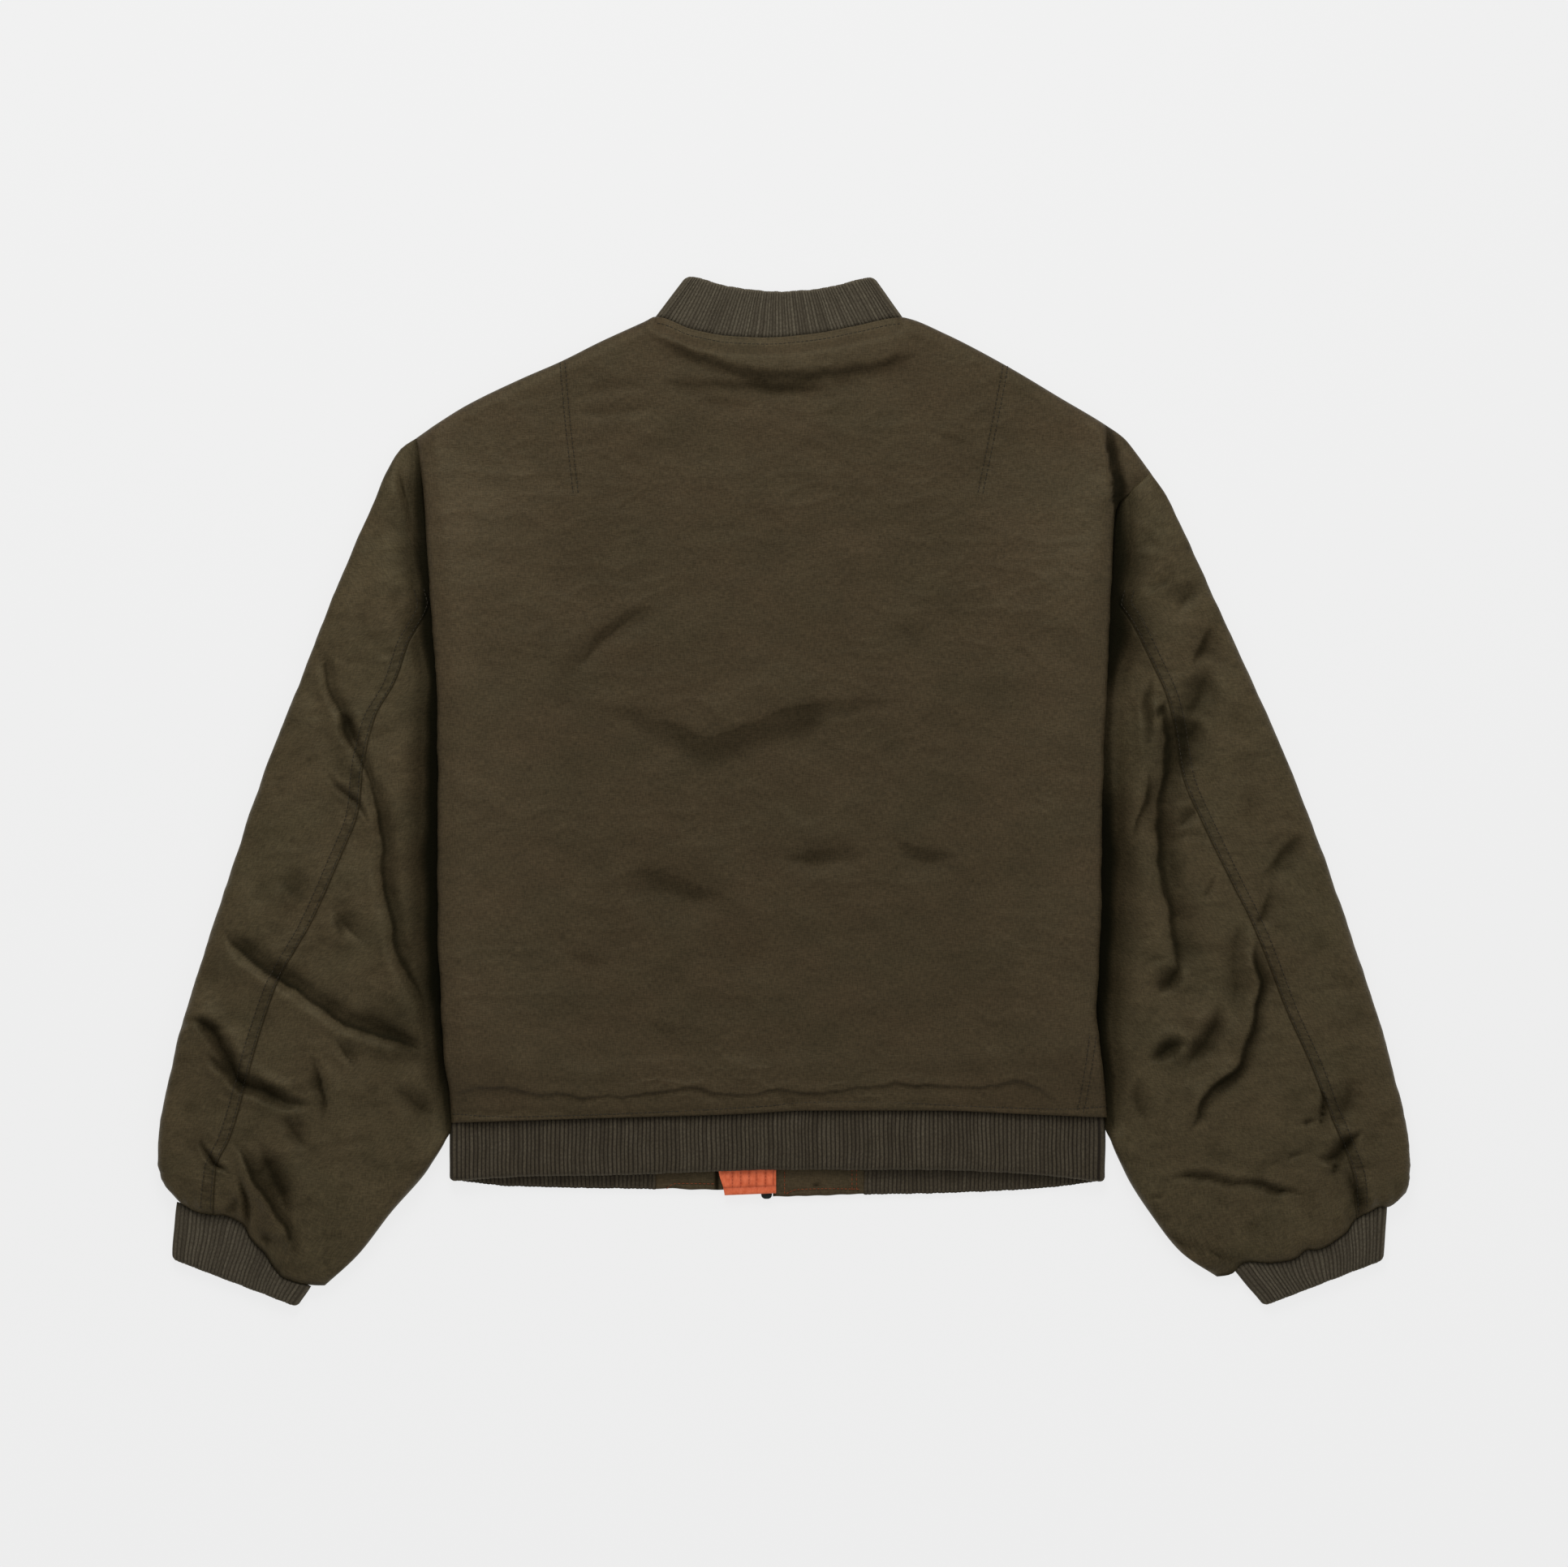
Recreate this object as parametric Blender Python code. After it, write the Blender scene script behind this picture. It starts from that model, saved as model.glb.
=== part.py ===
"""Padded bomber jacket with ribbed collar, hem and cuffs, laid flat with its back up.

Metres, +Z up. The jacket lies on z = 0 with its collar towards +Y and the wearer's left at -X.
Each piece that is cut and sewn is one closed solid: a wall with an outer and an inner surface.
Tables hold sizes in millimetres.
"""
import math
from collections import namedtuple

import bmesh
import bpy

MM = 0.001

# ---- driving sizes, in millimetres --------------------------------------------------------
SEAM_GAP = 0.3            # between pieces that are sewn together
FRONT_WALL = 4.2          # padded front, pressed flat under the jacket's weight
BACK_INSIDE = 7.6         # height of the back's inner face above the front's underside
BACK_WALL = 9.5           # padded back, loose on top
RIB_WALL = 3.9            # doubled rib knit
RIB_RELIEF = 1.1          # how far a rib stands out
RIDE_HEIGHT = 13.6        # how far the body's side edges ride up over the sleeves
RIDE_FLAT = 18.0          # width of the lifted strip beside each side edge
RIDE_END = 52.0           # distance from the side edge where the front is down on z = 0
LEFT_RIDE_START = 236.0   # the lift begins below the armhole, at this y
RIGHT_RIDE_START = 226.0
RIDE_STOP = -254.0        # and ends above the hem
RIDE_RAMP = 46.0          # length over which the lift sets in
RIDE_RUN_OUT = 54.0       # length over which it ends
ARMHOLE_RAMP = 18.0       # width over which it ends beyond the right fold
TOP_SLOPE = 0.85          # distance from a top edge as a share of the drop below it
FRONT_EDGE = 5.0          # radius of the front's lower edges
CLOSING_WIDTH = 16.0      # strip beside the side edges where back and front come together
SIDE_ROLL = 11.0          # radius of the back's rolled sides
TOP_ROLL = 10.0
HEM_ROLL = 7.0
SHOULDER_THINNING = 3.5   # the right shoulder's tip is thinner than the back
SLEEVE_SPLIT = 7.0        # height between a sleeve's lower and upper layers
SLEEVE_SLIT = 0.35        # half of the slit between those layers
SLEEVE_TUCK_TOP = 12.2    # sleeve height where the body lies on it
SLEEVE_EDGE = 15.0        # plan radius of a sleeve's rolled edge
SLEEVE_EDGE_HEIGHT = 8.0  # height of the outermost line of that edge
SLEEVE_LEAST = 8.9        # least height of a sleeve's upper layer
SLEEVE_VALLEY = 45.0      # width of the slope beside the body
SLEEVE_GATHER = 90.0      # length of the gathered end that bulges over the cuff
SLEEVE_HEAD_ROLL = 14.0   # radius at the armhole seam
SLEEVE_END_ROLL = 16.0    # radius at the cuff seam
ZIP_X = -13.3             # centre front
ZIP_SLOT = 4.8            # half width of the slot between the fronts
ZIP_BOTTOM = -290.0       # lower end of the tapes
ZIP_BOX_END = -312.4      # lower end of the box that the zip starts from
ZIP_TOP = 314.0
HEM_RIBS = 156
COLLAR_RIBS = 68
CUFF_RIBS = 34
COLLAR_SEAM_GAP = 0.5     # a little more than elsewhere, because the neck edge is curved
CUFF_SEAM_GAP = 1.0       # clear of the sleeve's bulging end
KNIT_INSIDE = 0.9         # room between the two layers of the collar and of each cuff

# ---- plan outline of the body: (y, x) down each side, (x, y) along top and bottom ----------
LEFT_EDGE = [(268, -281), (224, -275), (179, -272), (104, -266.5), (71, -264.5), (-16, -264),
             (-110, -264), (-159, -261.5), (-207, -259), (-230, -255.5), (-254, -254.5)]
RIGHT_FOLD = [(276, 245), (234, 251), (198, 251.5), (166, 250), (97, 247), (-16, 242.5),
              (-84, 242), (-133, 240), (-162, 238.5), (-188, 240), (-210, 243), (-252, 247.5)]
RIGHT_ARMHOLE = [(242, 281), (226, 263), (217, 254)]
BACK_TOP = [(-283, 268), (-264, 281), (-243, 294), (-202, 314), (-170, 328), (-140, 343),
            (-106, 358.5), (-98.5, 362), (-69, 352), (-40, 347), (-14, 346), (23, 349),
            (55, 355), (90.5, 361.5), (95.5, 360.5), (123, 349), (169, 325), (211, 300), (246, 279),
            (260, 269), (269, 258), (281, 242)]
FRONT_NECK = [(-98.5, 362), (-84, 343), (-60, 328), (-30, 319), (-10, 317), (25, 320),
              (55, 329), (78, 344), (90.5, 361.5)]
BACK_HEM = [(-255, -254), (-163, -251), (-40, -247.5), (21, -244.5), (113, -244.5),
            (179, -247), (248, -250)]
FRONT_HEM_DROP = 13.0     # how much lower the front hangs at its centre

# ---- ribbed bands: free edges, and where they are left open ---------------------------------
HEM_SIDES = (-255.5, 245.2)
HEM_OPENING = (-98, 61)
HEM_BACK_BOTTOM = [(-249.8, -298.5), (-195, -295), (-131, -294), (-7, -290), (113, -290),
                   (166, -292), (195, -294), (239.4, -299)]
HEM_FRONT_BOTTOM = [(-249.8, -298.5), (-211, -302.5), (-98, -305), (61, -309), (179, -305.5),
                    (210, -303), (239.4, -299)]
COLLAR_SEAM_X = (-94.2, 86.4)
COLLAR_OPENING = (0.475, 0.525)
# (share along the collar, x, y)
COLLAR_BACK_FREE = [(0, -70.5, 393.0), (0.05, -65, 391.9), (0.17, -48, 386.6), (0.33, -25, 383),
                    (0.5, -4, 381.5), (0.68, 20, 382.8), (0.85, 43, 387), (0.95, 59, 391.4),
                    (1, 64.5, 392.4)]
COLLAR_FRONT_FREE = [(0, -70.5, 393.0), (0.1, -60, 378), (0.25, -42, 364), (0.4, -24, 357),
                     (0.5, -10, 355), (0.62, 16, 358), (0.8, 40, 366), (0.92, 55, 378),
                     (1, 64.5, 392.4)]
# shares across the sleeve's end where a cuff starts and stops, and the ends of its free edge
Cuff = namedtuple("Cuff", "seam_from seam_to free_start free_stop")
LEFT_CUFF = Cuff(0.09, 0.905, (-463.9, -359.6), (-377, -391.6))
RIGHT_CUFF = Cuff(0.885, 0.135, (371, -391.6), (454.3, -360.4))

# ---- sleeves: a row is a line across the sleeve, from its outer edge to its inner edge -------
SleeveRow = namedtuple("SleeveRow", "outer_x outer_y inner_x inner_y crown")
LEFT_SLEEVE = [SleeveRow(*row) for row in (
    (-283.4, 268.5, -280.0, 258.5, 11), (-292.5, 262, -278.9, 251, 12.5),
    (-303.5, 244, -277.1, 238, 14), (-311.5, 225, -275.2, 222, 15.5), (-319, 208, -272.9, 205, 17),
    (-341, 157, -258, 160, 19), (-370, 83, -246, 95, 20), (-399, 9, -244, 20, 21),
    (-424, -66, -244, -55, 22), (-448, -140, -251, -122, 23), (-463, -190, -259.8, -172, 23),
    (-470, -221, -257.4, -204, 23), (-474, -239, -255.9, -222, 23), (-476.5, -253, -255.6, -239, 22.5),
    (-478, -266, -255.9, -257, 22), (-478.4, -284, -271, -288, 21),
    (-476.6, -294, -300.2, -322.5, 20), (-473.5, -301, -326, -355.5, 18),
    (-469, -307, -351, -378.5, 16))]
RIGHT_SLEEVE = [SleeveRow(*row) for row in (
    (281.4, 241.6, 254.4, 216.6, 12), (293, 224, 250.9, 198, 15), (306, 197, 249.0, 177, 17),
    (324, 157, 240, 140, 19), (358, 83, 227, 75, 20), (390, 9, 223, 5, 21),
    (418, -66, 222, -60, 22), (443, -140, 230, -122, 23), (459, -190, 237.8, -172, 23),
    (467, -221, 241.2, -204, 22.5), (472, -239, 244.2, -222, 22), (474.8, -253, 246.4, -239, 21.5),
    (477, -265, 247.4, -257, 21), (478.3, -282, 260.5, -292, 20),
    (478.3, -291, 281.8, -326, 19), (477.7, -299.5, 304.5, -354, 17),
    (475.6, -307.5, 331, -371.8, 15))]
LEFT_SLEEVE_SEAM = [(257, -284), (205, -284), (146, -270), (113, -286), (84, -296), (55, -312),
                    (16, -321), (-13, -324), (-53, -339), (-100, -360), (-145, -385),
                    (-190, -401), (-224, -410), (-264, -422), (-289, -433), (-330, -436)]
RIGHT_SLEEVE_SEAM = [(216, 262), (177, 262), (156, 250), (126, 266), (100, 279), (71, 292),
                     (46, 298), (14, 303), (-29, 321), (-68, 340), (-100, 356), (-129, 368),
                     (-168, 383), (-210, 402), (-236, 412), (-268, 425), (-298, 435), (-340, 438)]
# how far the gathered sleeve end bulges over its cuff, (share from the outer edge, bulge)
LEFT_BULGE = [(0, 0), (0.2, 4), (0.48, 1), (0.78, 10), (1, 0)]
RIGHT_BULGE = [(0, 0), (0.25, 9), (0.5, 13), (0.75, 8), (1, 0)]

# ---- front fastening ------------------------------------------------------------------------
# a placket's sides, and the y of its lower edge at each side
Placket = namedtuple("Placket", "side start stop low_start low_stop")
PLACKETS = [Placket("left", -98 + SEAM_GAP, ZIP_X - ZIP_SLOT, -305.0, -307.0),
            Placket("right", ZIP_X + ZIP_SLOT, 61 - SEAM_GAP, -310.5, -309.0)]
PLACKET_UNDER = 1.0       # underside of a placket's rolled lower edge
PLACKET_BEND = 2.2        # top of that edge
PLACKET_ROLL = 1.2        # depth of the rolled edge
FLAP_STOP = -6.0          # the flap's straight side
FLAP_SIDE = ((-309.3, -45.4), (-290.0, -50.0), (300.0, -50.0))    # (y, x) of its other side
FLAP_BASE = 5.4           # height of its lower face
FLAP_CHANNELS = 7
FLAP_SEAM = 1.3           # thickness at a quilting seam
FLAP_CREST = 2.0          # thickness between two seams
TAPE_TOP = ZIP_TOP - 14.0
TAPE_WIDTH = 13.5
TAPE_LOW = 4.45           # underside of the tape
TAPE_HIGH = 5.1
TEETH_WIDTH = 2.4
TEETH_LOW = 2.2           # underside of the row of teeth
BOX_LOW = 1.6
BOX_HALF = 4.2            # half width of the box
BOX_NOSE = 3.0            # length of its rounded end
SLIDER_LENGTH = 13.7
SLIDER_SHAPE = [(-4.3, 1.2), (-3.4, 0.3), (3.4, 0.3), (4.3, 1.2), (4.3, 3.6), (3.6, 4.2),
                (-3.6, 4.2), (-4.3, 3.6)]
PULL_ENDS = (ZIP_TOP - 46.0, ZIP_TOP - 14.0)
PULL_SHAPE = [(-3, 0.2), (3, 0.2), (3, 1.6), (-3, 1.6)]

# ---- largest folds: path, half width and height (negative for a trough) -------------------
Fold = namedtuple("Fold", "path width rise")
BACK_FOLDS = [
    Fold([(-102, 353), (-69, 336), (0, 321), (50, 324), (104, 336)], 9, -3.0),
    Fold([(-98, 340), (-60, 326), (0, 311), (60, 314)], 14, 2.2),
    Fold([(-141, 70), (-100, 50), (-55, 40), (-10, 55), (45, 69), (92, 71)], 16, 3.6),
    Fold([(-110, 40), (-60, 22), (-10, 34), (30, 48)], 18, -2.6),
    Fold([(-102, 135), (-147, 104), (-168, 76), (-176, 50)], 18, -1.6),
    Fold([(-137, -96), (-115, -60), (-45, -74)], 20, -2.2),
    Fold([(-75, -118), (-6, -135)], 16, -1.8), Fold([(6, -52), (66, -50)], 14, -1.6),
    Fold([(78, -35), (115, -50), (142, -38)], 14, -1.6),
    Fold([(-251, -228), (-130, -232), (0, -229), (140, -225), (195, -228)], 7, -3.4),
    Fold([(-250, -213), (-130, -216), (0, -214), (140, -210)], 10, 1.8)]
LEFT_SLEEVE_FOLDS = [
    Fold([(-356, 105), (-332, 48), (-315, 6), (-305, -52), (-293, -125), (-272, -165)], 11, -4.0),
    Fold([(-345, 12), (-316, -30)], 10, -2.5), Fold([(-395, -66), (-362, -92)], 12, 2.5),
    Fold([(-424, -110), (-384, -146), (-345, -172), (-280, -200)], 12, -4.2),
    Fold([(-430, -128), (-380, -168), (-330, -192)], 12, 3.0),
    Fold([(-452, -176), (-430, -196), (-400, -226), (-358, -238)], 11, -4.5),
    Fold([(-362, -212), (-352, -250)], 9, -2.5), Fold([(-376, -246), (-364, -270)], 9, 2.5),
    Fold([(-422, -268), (-398, -310), (-370, -352)], 10, -4.8),
    Fold([(-400, -274), (-388, -320), (-372, -345)], 9, 3.0),
    Fold([(-442, -272), (-414, -294)], 8, -2.5)]
RIGHT_SLEEVE_FOLDS = [
    Fold([(332, 128), (306, 92)], 13, 3.0), Fold([(318, 81), (303, 56)], 12, 2.6),
    Fold([(281, 78), (281, 14), (262, -52)], 11, -3.0),
    Fold([(298, 48), (287, -20), (297, -100), (286, -158)], 12, -4.0),
    Fold([(332, -140), (330, -176), (308, -208)], 12, 3.2),
    Fold([(276, -208), (308, -196)], 10, -2.5),
    Fold([(360, -113), (356, -176), (340, -212), (304, -262)], 12, -4.2),
    Fold([(392, -48), (368, -72)], 16, 2.6), Fold([(421, -278), (398, -278)], 9, -2.5),
    Fold([(412, -236), (408, -256)], 9, -2.0),
    Fold([(288, -296), (330, -298), (376, -304), (393, -306)], 11, -3.2)]


def mix(a, b, t):
    return a + (b - a) * t


def clamp(value, low=0.0, high=1.0):
    return max(low, min(high, value))


def ease(t):
    t = clamp(t)
    return t * t * (3 - 2 * t)


def quarter_round(distance, radius, start):
    """Share of the full height at a distance from a rolled edge."""
    t = clamp(distance / radius)
    return start + (1 - start) * math.sqrt(1 - (1 - t) ** 2)


def smooth_curve(rows):
    """A smooth function through (place, value) rows, which never overshoots them."""
    rows = sorted(rows)
    places = [row[0] for row in rows]
    values = [row[1] for row in rows]
    spans = [b - a for a, b in zip(places, places[1:])]
    slopes = [(b - a) / span for a, b, span in zip(values, values[1:], spans)]
    tangents = [slopes[0]]
    for before, after, left, right in zip(slopes, slopes[1:], spans, spans[1:]):
        if before * after <= 0:
            tangents.append(0.0)
        else:
            weight_a = 2 * right + left
            weight_b = right + 2 * left
            tangents.append((weight_a + weight_b) / (weight_a / before + weight_b / after))
    tangents.append(slopes[-1])

    def value_at(place):
        place = clamp(place, places[0], places[-1])
        k = 0
        while k < len(spans) - 1 and place > places[k + 1]:
            k += 1
        t = (place - places[k]) / spans[k]
        rise = (1 + 2 * t) * (1 - t) ** 2 * values[k] + t * t * (3 - 2 * t) * values[k + 1]
        bend = t * (1 - t) ** 2 * tangents[k] - t * t * (1 - t) * tangents[k + 1]
        return rise + bend * spans[k]
    return value_at


left_edge = smooth_curve(LEFT_EDGE)
right_fold = smooth_curve(RIGHT_FOLD)
right_edge = smooth_curve([row for row in RIGHT_FOLD if row[0] < 210] + RIGHT_ARMHOLE)
back_top = smooth_curve(BACK_TOP)
shoulders = [row for row in BACK_TOP if row[0] < FRONT_NECK[0][0] or row[0] > FRONT_NECK[-1][0]]
front_top = smooth_curve(shoulders + FRONT_NECK)
back_hem = smooth_curve(BACK_HEM)


def front_hem(x):
    return back_hem(x) - FRONT_HEM_DROP * max(0.0, 1 - (x / 252) ** 4)


def above_hem(x):
    return back_hem(x) + SEAM_GAP / 2


def above_front_hem(x):
    return front_hem(x) + SEAM_GAP / 2


# ---- heights over the plan -----------------------------------------------------------------
def fold_height(folds, x, y):
    """Sum of the soft ridges and troughs at a place, each fading towards its ends."""
    total = 0.0
    for fold in folds:
        best = None
        for k, ((ax, ay), (bx, by)) in enumerate(zip(fold.path, fold.path[1:])):
            length2 = (bx - ax) ** 2 + (by - ay) ** 2
            t = clamp(((x - ax) * (bx - ax) + (y - ay) * (by - ay)) / length2)
            gap = math.hypot(x - mix(ax, bx, t), y - mix(ay, by, t))
            if best is None or gap < best[0]:
                best = (gap, (k + t) / (len(fold.path) - 1))
        gap, along = best
        if gap < 3 * fold.width:
            fade = ease(4 * along) * ease(4 * (1 - along)) * 0.75 + 0.25
            total += fold.rise * fade * math.exp(-(gap / fold.width) ** 2)
    return total


def ride(x, y):
    """Lift of the body where its side edges lie on the sleeves."""
    inset_left = x - left_edge(y)
    inset_right = right_fold(y) - x
    lower_end = ease((y - RIDE_STOP) / RIDE_RUN_OUT)
    if inset_left < inset_right:
        share = 1 - ease((inset_left - RIDE_FLAT) / (RIDE_END - RIDE_FLAT))
        return RIDE_HEIGHT * share * lower_end * ease((LEFT_RIDE_START - y) / RIDE_RAMP)
    if inset_right >= 0:
        share = 1 - ease((inset_right - RIDE_FLAT) / (RIDE_END - RIDE_FLAT))
    else:
        share = 1 - ease(-inset_right / ARMHOLE_RAMP)
    return RIDE_HEIGHT * share * lower_end * ease((RIGHT_RIDE_START - y) / RIDE_RAMP)


def edge_inset(x, y):
    """Distance from the nearest side or top edge of the back."""
    from_top = (back_top(x) - y) * TOP_SLOPE
    return max(0.0, min(x - left_edge(y), right_edge(y) - x, from_top))


def front_low(x, y):
    from_top = (front_top(x) - y) * TOP_SLOPE
    inset = max(0.0, min(x - left_edge(y), right_edge(y) - x, from_top))
    return ride(x, y) + 0.7 * FRONT_WALL * (1 - quarter_round(inset, FRONT_EDGE, 0.0))


def front_high(x, y):
    return ride(x, y) + FRONT_WALL


def back_low(x, y):
    closed = FRONT_WALL + SEAM_GAP
    return ride(x, y) + mix(closed, BACK_INSIDE, ease(edge_inset(x, y) / CLOSING_WIDTH))


def back_high(x, y):
    side = min(x - left_edge(y), right_edge(y) - x)
    roll = quarter_round(side, SIDE_ROLL, 0.12)
    roll = min(roll, quarter_round((back_top(x) - y) * TOP_SLOPE, TOP_ROLL, 0.2))
    roll = min(roll, quarter_round(y - back_hem(x), HEM_ROLL, 0.45))
    tip = ease((x - right_fold(y)) / 7) * ease((y - 205) / 15)
    wall = BACK_WALL + fold_height(BACK_FOLDS, x, y) - SHOULDER_THINNING * tip
    closing = ease(side / CLOSING_WIDTH)
    return ride(x, y) + mix(FRONT_WALL + SEAM_GAP, BACK_INSIDE, closing) + wall * roll


# ---- solids -------------------------------------------------------------------------------
def make_material(name, colour, roughness, metallic=0.0):
    material = bpy.data.materials.new(name)
    material.use_nodes = True
    shader = material.node_tree.nodes["Principled BSDF"]
    shader.inputs["Base Color"].default_value = (*colour, 1.0)
    shader.inputs["Roughness"].default_value = roughness
    shader.inputs["Metallic"].default_value = metallic
    return material


def add_solid(name, material, points, faces, smooth=True):
    """One closed body from points in millimetres, with its faces turned outwards."""
    mesh = bpy.data.meshes.new(name)
    mesh.from_pydata([(x * MM, y * MM, z * MM) for x, y, z in points], [], faces)
    work = bmesh.new()
    work.from_mesh(mesh)
    bmesh.ops.recalc_face_normals(work, faces=work.faces)
    work.to_mesh(mesh)
    work.free()
    if smooth:
        mesh.shade_smooth()
        mesh.set_sharp_from_angle(angle=math.radians(50))
    mesh.materials.append(material)
    solid = bpy.data.objects.new(name, mesh)
    bpy.context.scene.collection.objects.link(solid)
    return solid


def rim_faces(outer, inner, keep):
    """Triangles between an edge of the outer grid and the coarser edge of the inner one."""
    faces = []
    for k, (start, stop) in enumerate(zip(keep, keep[1:])):
        half = (start + stop + 1) // 2
        for i in range(start, stop):
            near = inner[k] if i < half else inner[k + 1]
            faces.append((outer[i], outer[i + 1], near))
        faces.append((inner[k], inner[k + 1], outer[half]))
    return faces


def add_wall(name, material, outer, inner, keep_across, keep_along, closed=False):
    """A wall between an outer grid of points and an inner one.

    The inner grid has a point only at the kept columns and rows of the outer one, and a closed
    wall joins its last column to its first.
    """
    points = []
    ids_outer = []
    ids_inner = []
    for grid, ids in ((outer, ids_outer), (inner, ids_inner)):
        for column in grid:
            ids.append(range(len(points), len(points) + len(column)))
            points.extend(column)
    if closed:
        keep_across = list(keep_across) + [len(outer)]
        ids_outer.append(ids_outer[0])
        ids_inner.append(ids_inner[0])
    faces = []
    for ids in (ids_outer, ids_inner):
        for one, two in zip(ids, ids[1:]):
            for j in range(len(one) - 1):
                faces.append((one[j], two[j], two[j + 1]))
                faces.append((one[j], two[j + 1], one[j + 1]))
    for j in (0, -1):
        faces += rim_faces([ids[j] for ids in ids_outer], [ids[j] for ids in ids_inner],
                           keep_across)
    if not closed:
        for i in (0, -1):
            faces += rim_faces(ids_outer[i], ids_inner[i], keep_along)
    return add_solid(name, material, points, faces)


def spaced(start, stop, count):
    return [mix(start, stop, k / count) for k in range(count + 1)]


# ---- body panels ----------------------------------------------------------------------------
EDGE_STEPS = (0, 1.5, 5, 12, 20, 36, RIDE_END)
FRONT_COLUMNS = {"left": (-160, -118, -99, -93, -84, -74, -60, -45, -30),
                 "right": (10, 25, 40, 55, 66, 75, 83, 91, 115, 155)}
PANEL_ROWS = (0, 0.006, 0.025, 0.055, 0.095, 0.14, 0.19, 0.245, 0.305, 0.37, 0.435, 0.5, 0.56,
              0.615, 0.675, 0.735, 0.79, 0.84, 0.885, 0.92, 0.949, 0.978, 0.996, 1)


def edge_column(edge, inset):
    return lambda y: edge(y) + inset


def upright_column(x):
    return lambda y: x


def middle_column(start, stop, share):
    return lambda y: mix(start(y), stop(y), share)


def column_points(column, top, bottom):
    """Plan points up one column of a panel, from its bottom edge to its top edge."""
    high = 300.0
    low = -250.0
    for _ in range(30):
        high = mix(high, top(column(high)), 0.6)
        low = bottom(column(low))
    heights = [mix(low, high, share) for share in PANEL_ROWS]
    return [(column(y), y) for y in heights]


def add_panel(name, material, columns, keep, top, bottom, low, high, outside_up):
    plan = [column_points(column, top, bottom) for column in columns]
    upper = [[(x, y, high(x, y)) for x, y in line] for line in plan]
    lower = [[(x, y, low(x, y)) for x, y in line] for line in plan]
    rows = range(len(PANEL_ROWS))
    if outside_up:
        lower = [lower[i] for i in keep]
        return add_wall(name, material, upper, lower, keep, rows)
    upper = [upper[i] for i in keep]
    return add_wall(name, material, lower, upper, keep, rows)


def add_body(material):
    left = [edge_column(left_edge, inset) for inset in EDGE_STEPS]
    right = [edge_column(right_edge, -inset) for inset in reversed(EDGE_STEPS)]
    shares = spaced(0, 1, 30)[1:-1]
    middle = [middle_column(left[-1], right[0], share) for share in shares]
    columns = left + middle + right
    ends = len(left)
    neck = range(ends + 7, ends + 22)
    keep = list(range(ends)) + [ends + 3] + list(neck) + [ends + 25]
    keep += list(range(ends + 29, len(columns)))
    add_panel("back_panel", material, columns, keep, back_top, above_hem, back_low, back_high,
              True)
    for side, edges in (("left", left), ("right", right)):
        sign = -1 if side == "left" else 1
        centre = upright_column(ZIP_X + sign * ZIP_SLOT)
        middle = [upright_column(x) for x in FRONT_COLUMNS[side]]
        if side == "left":
            columns = edges + middle + [centre]
        else:
            columns = [centre] + middle + edges
        add_panel("front_" + side, material, columns, range(len(columns)), front_top,
                  above_front_hem, front_low, front_high, False)


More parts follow.
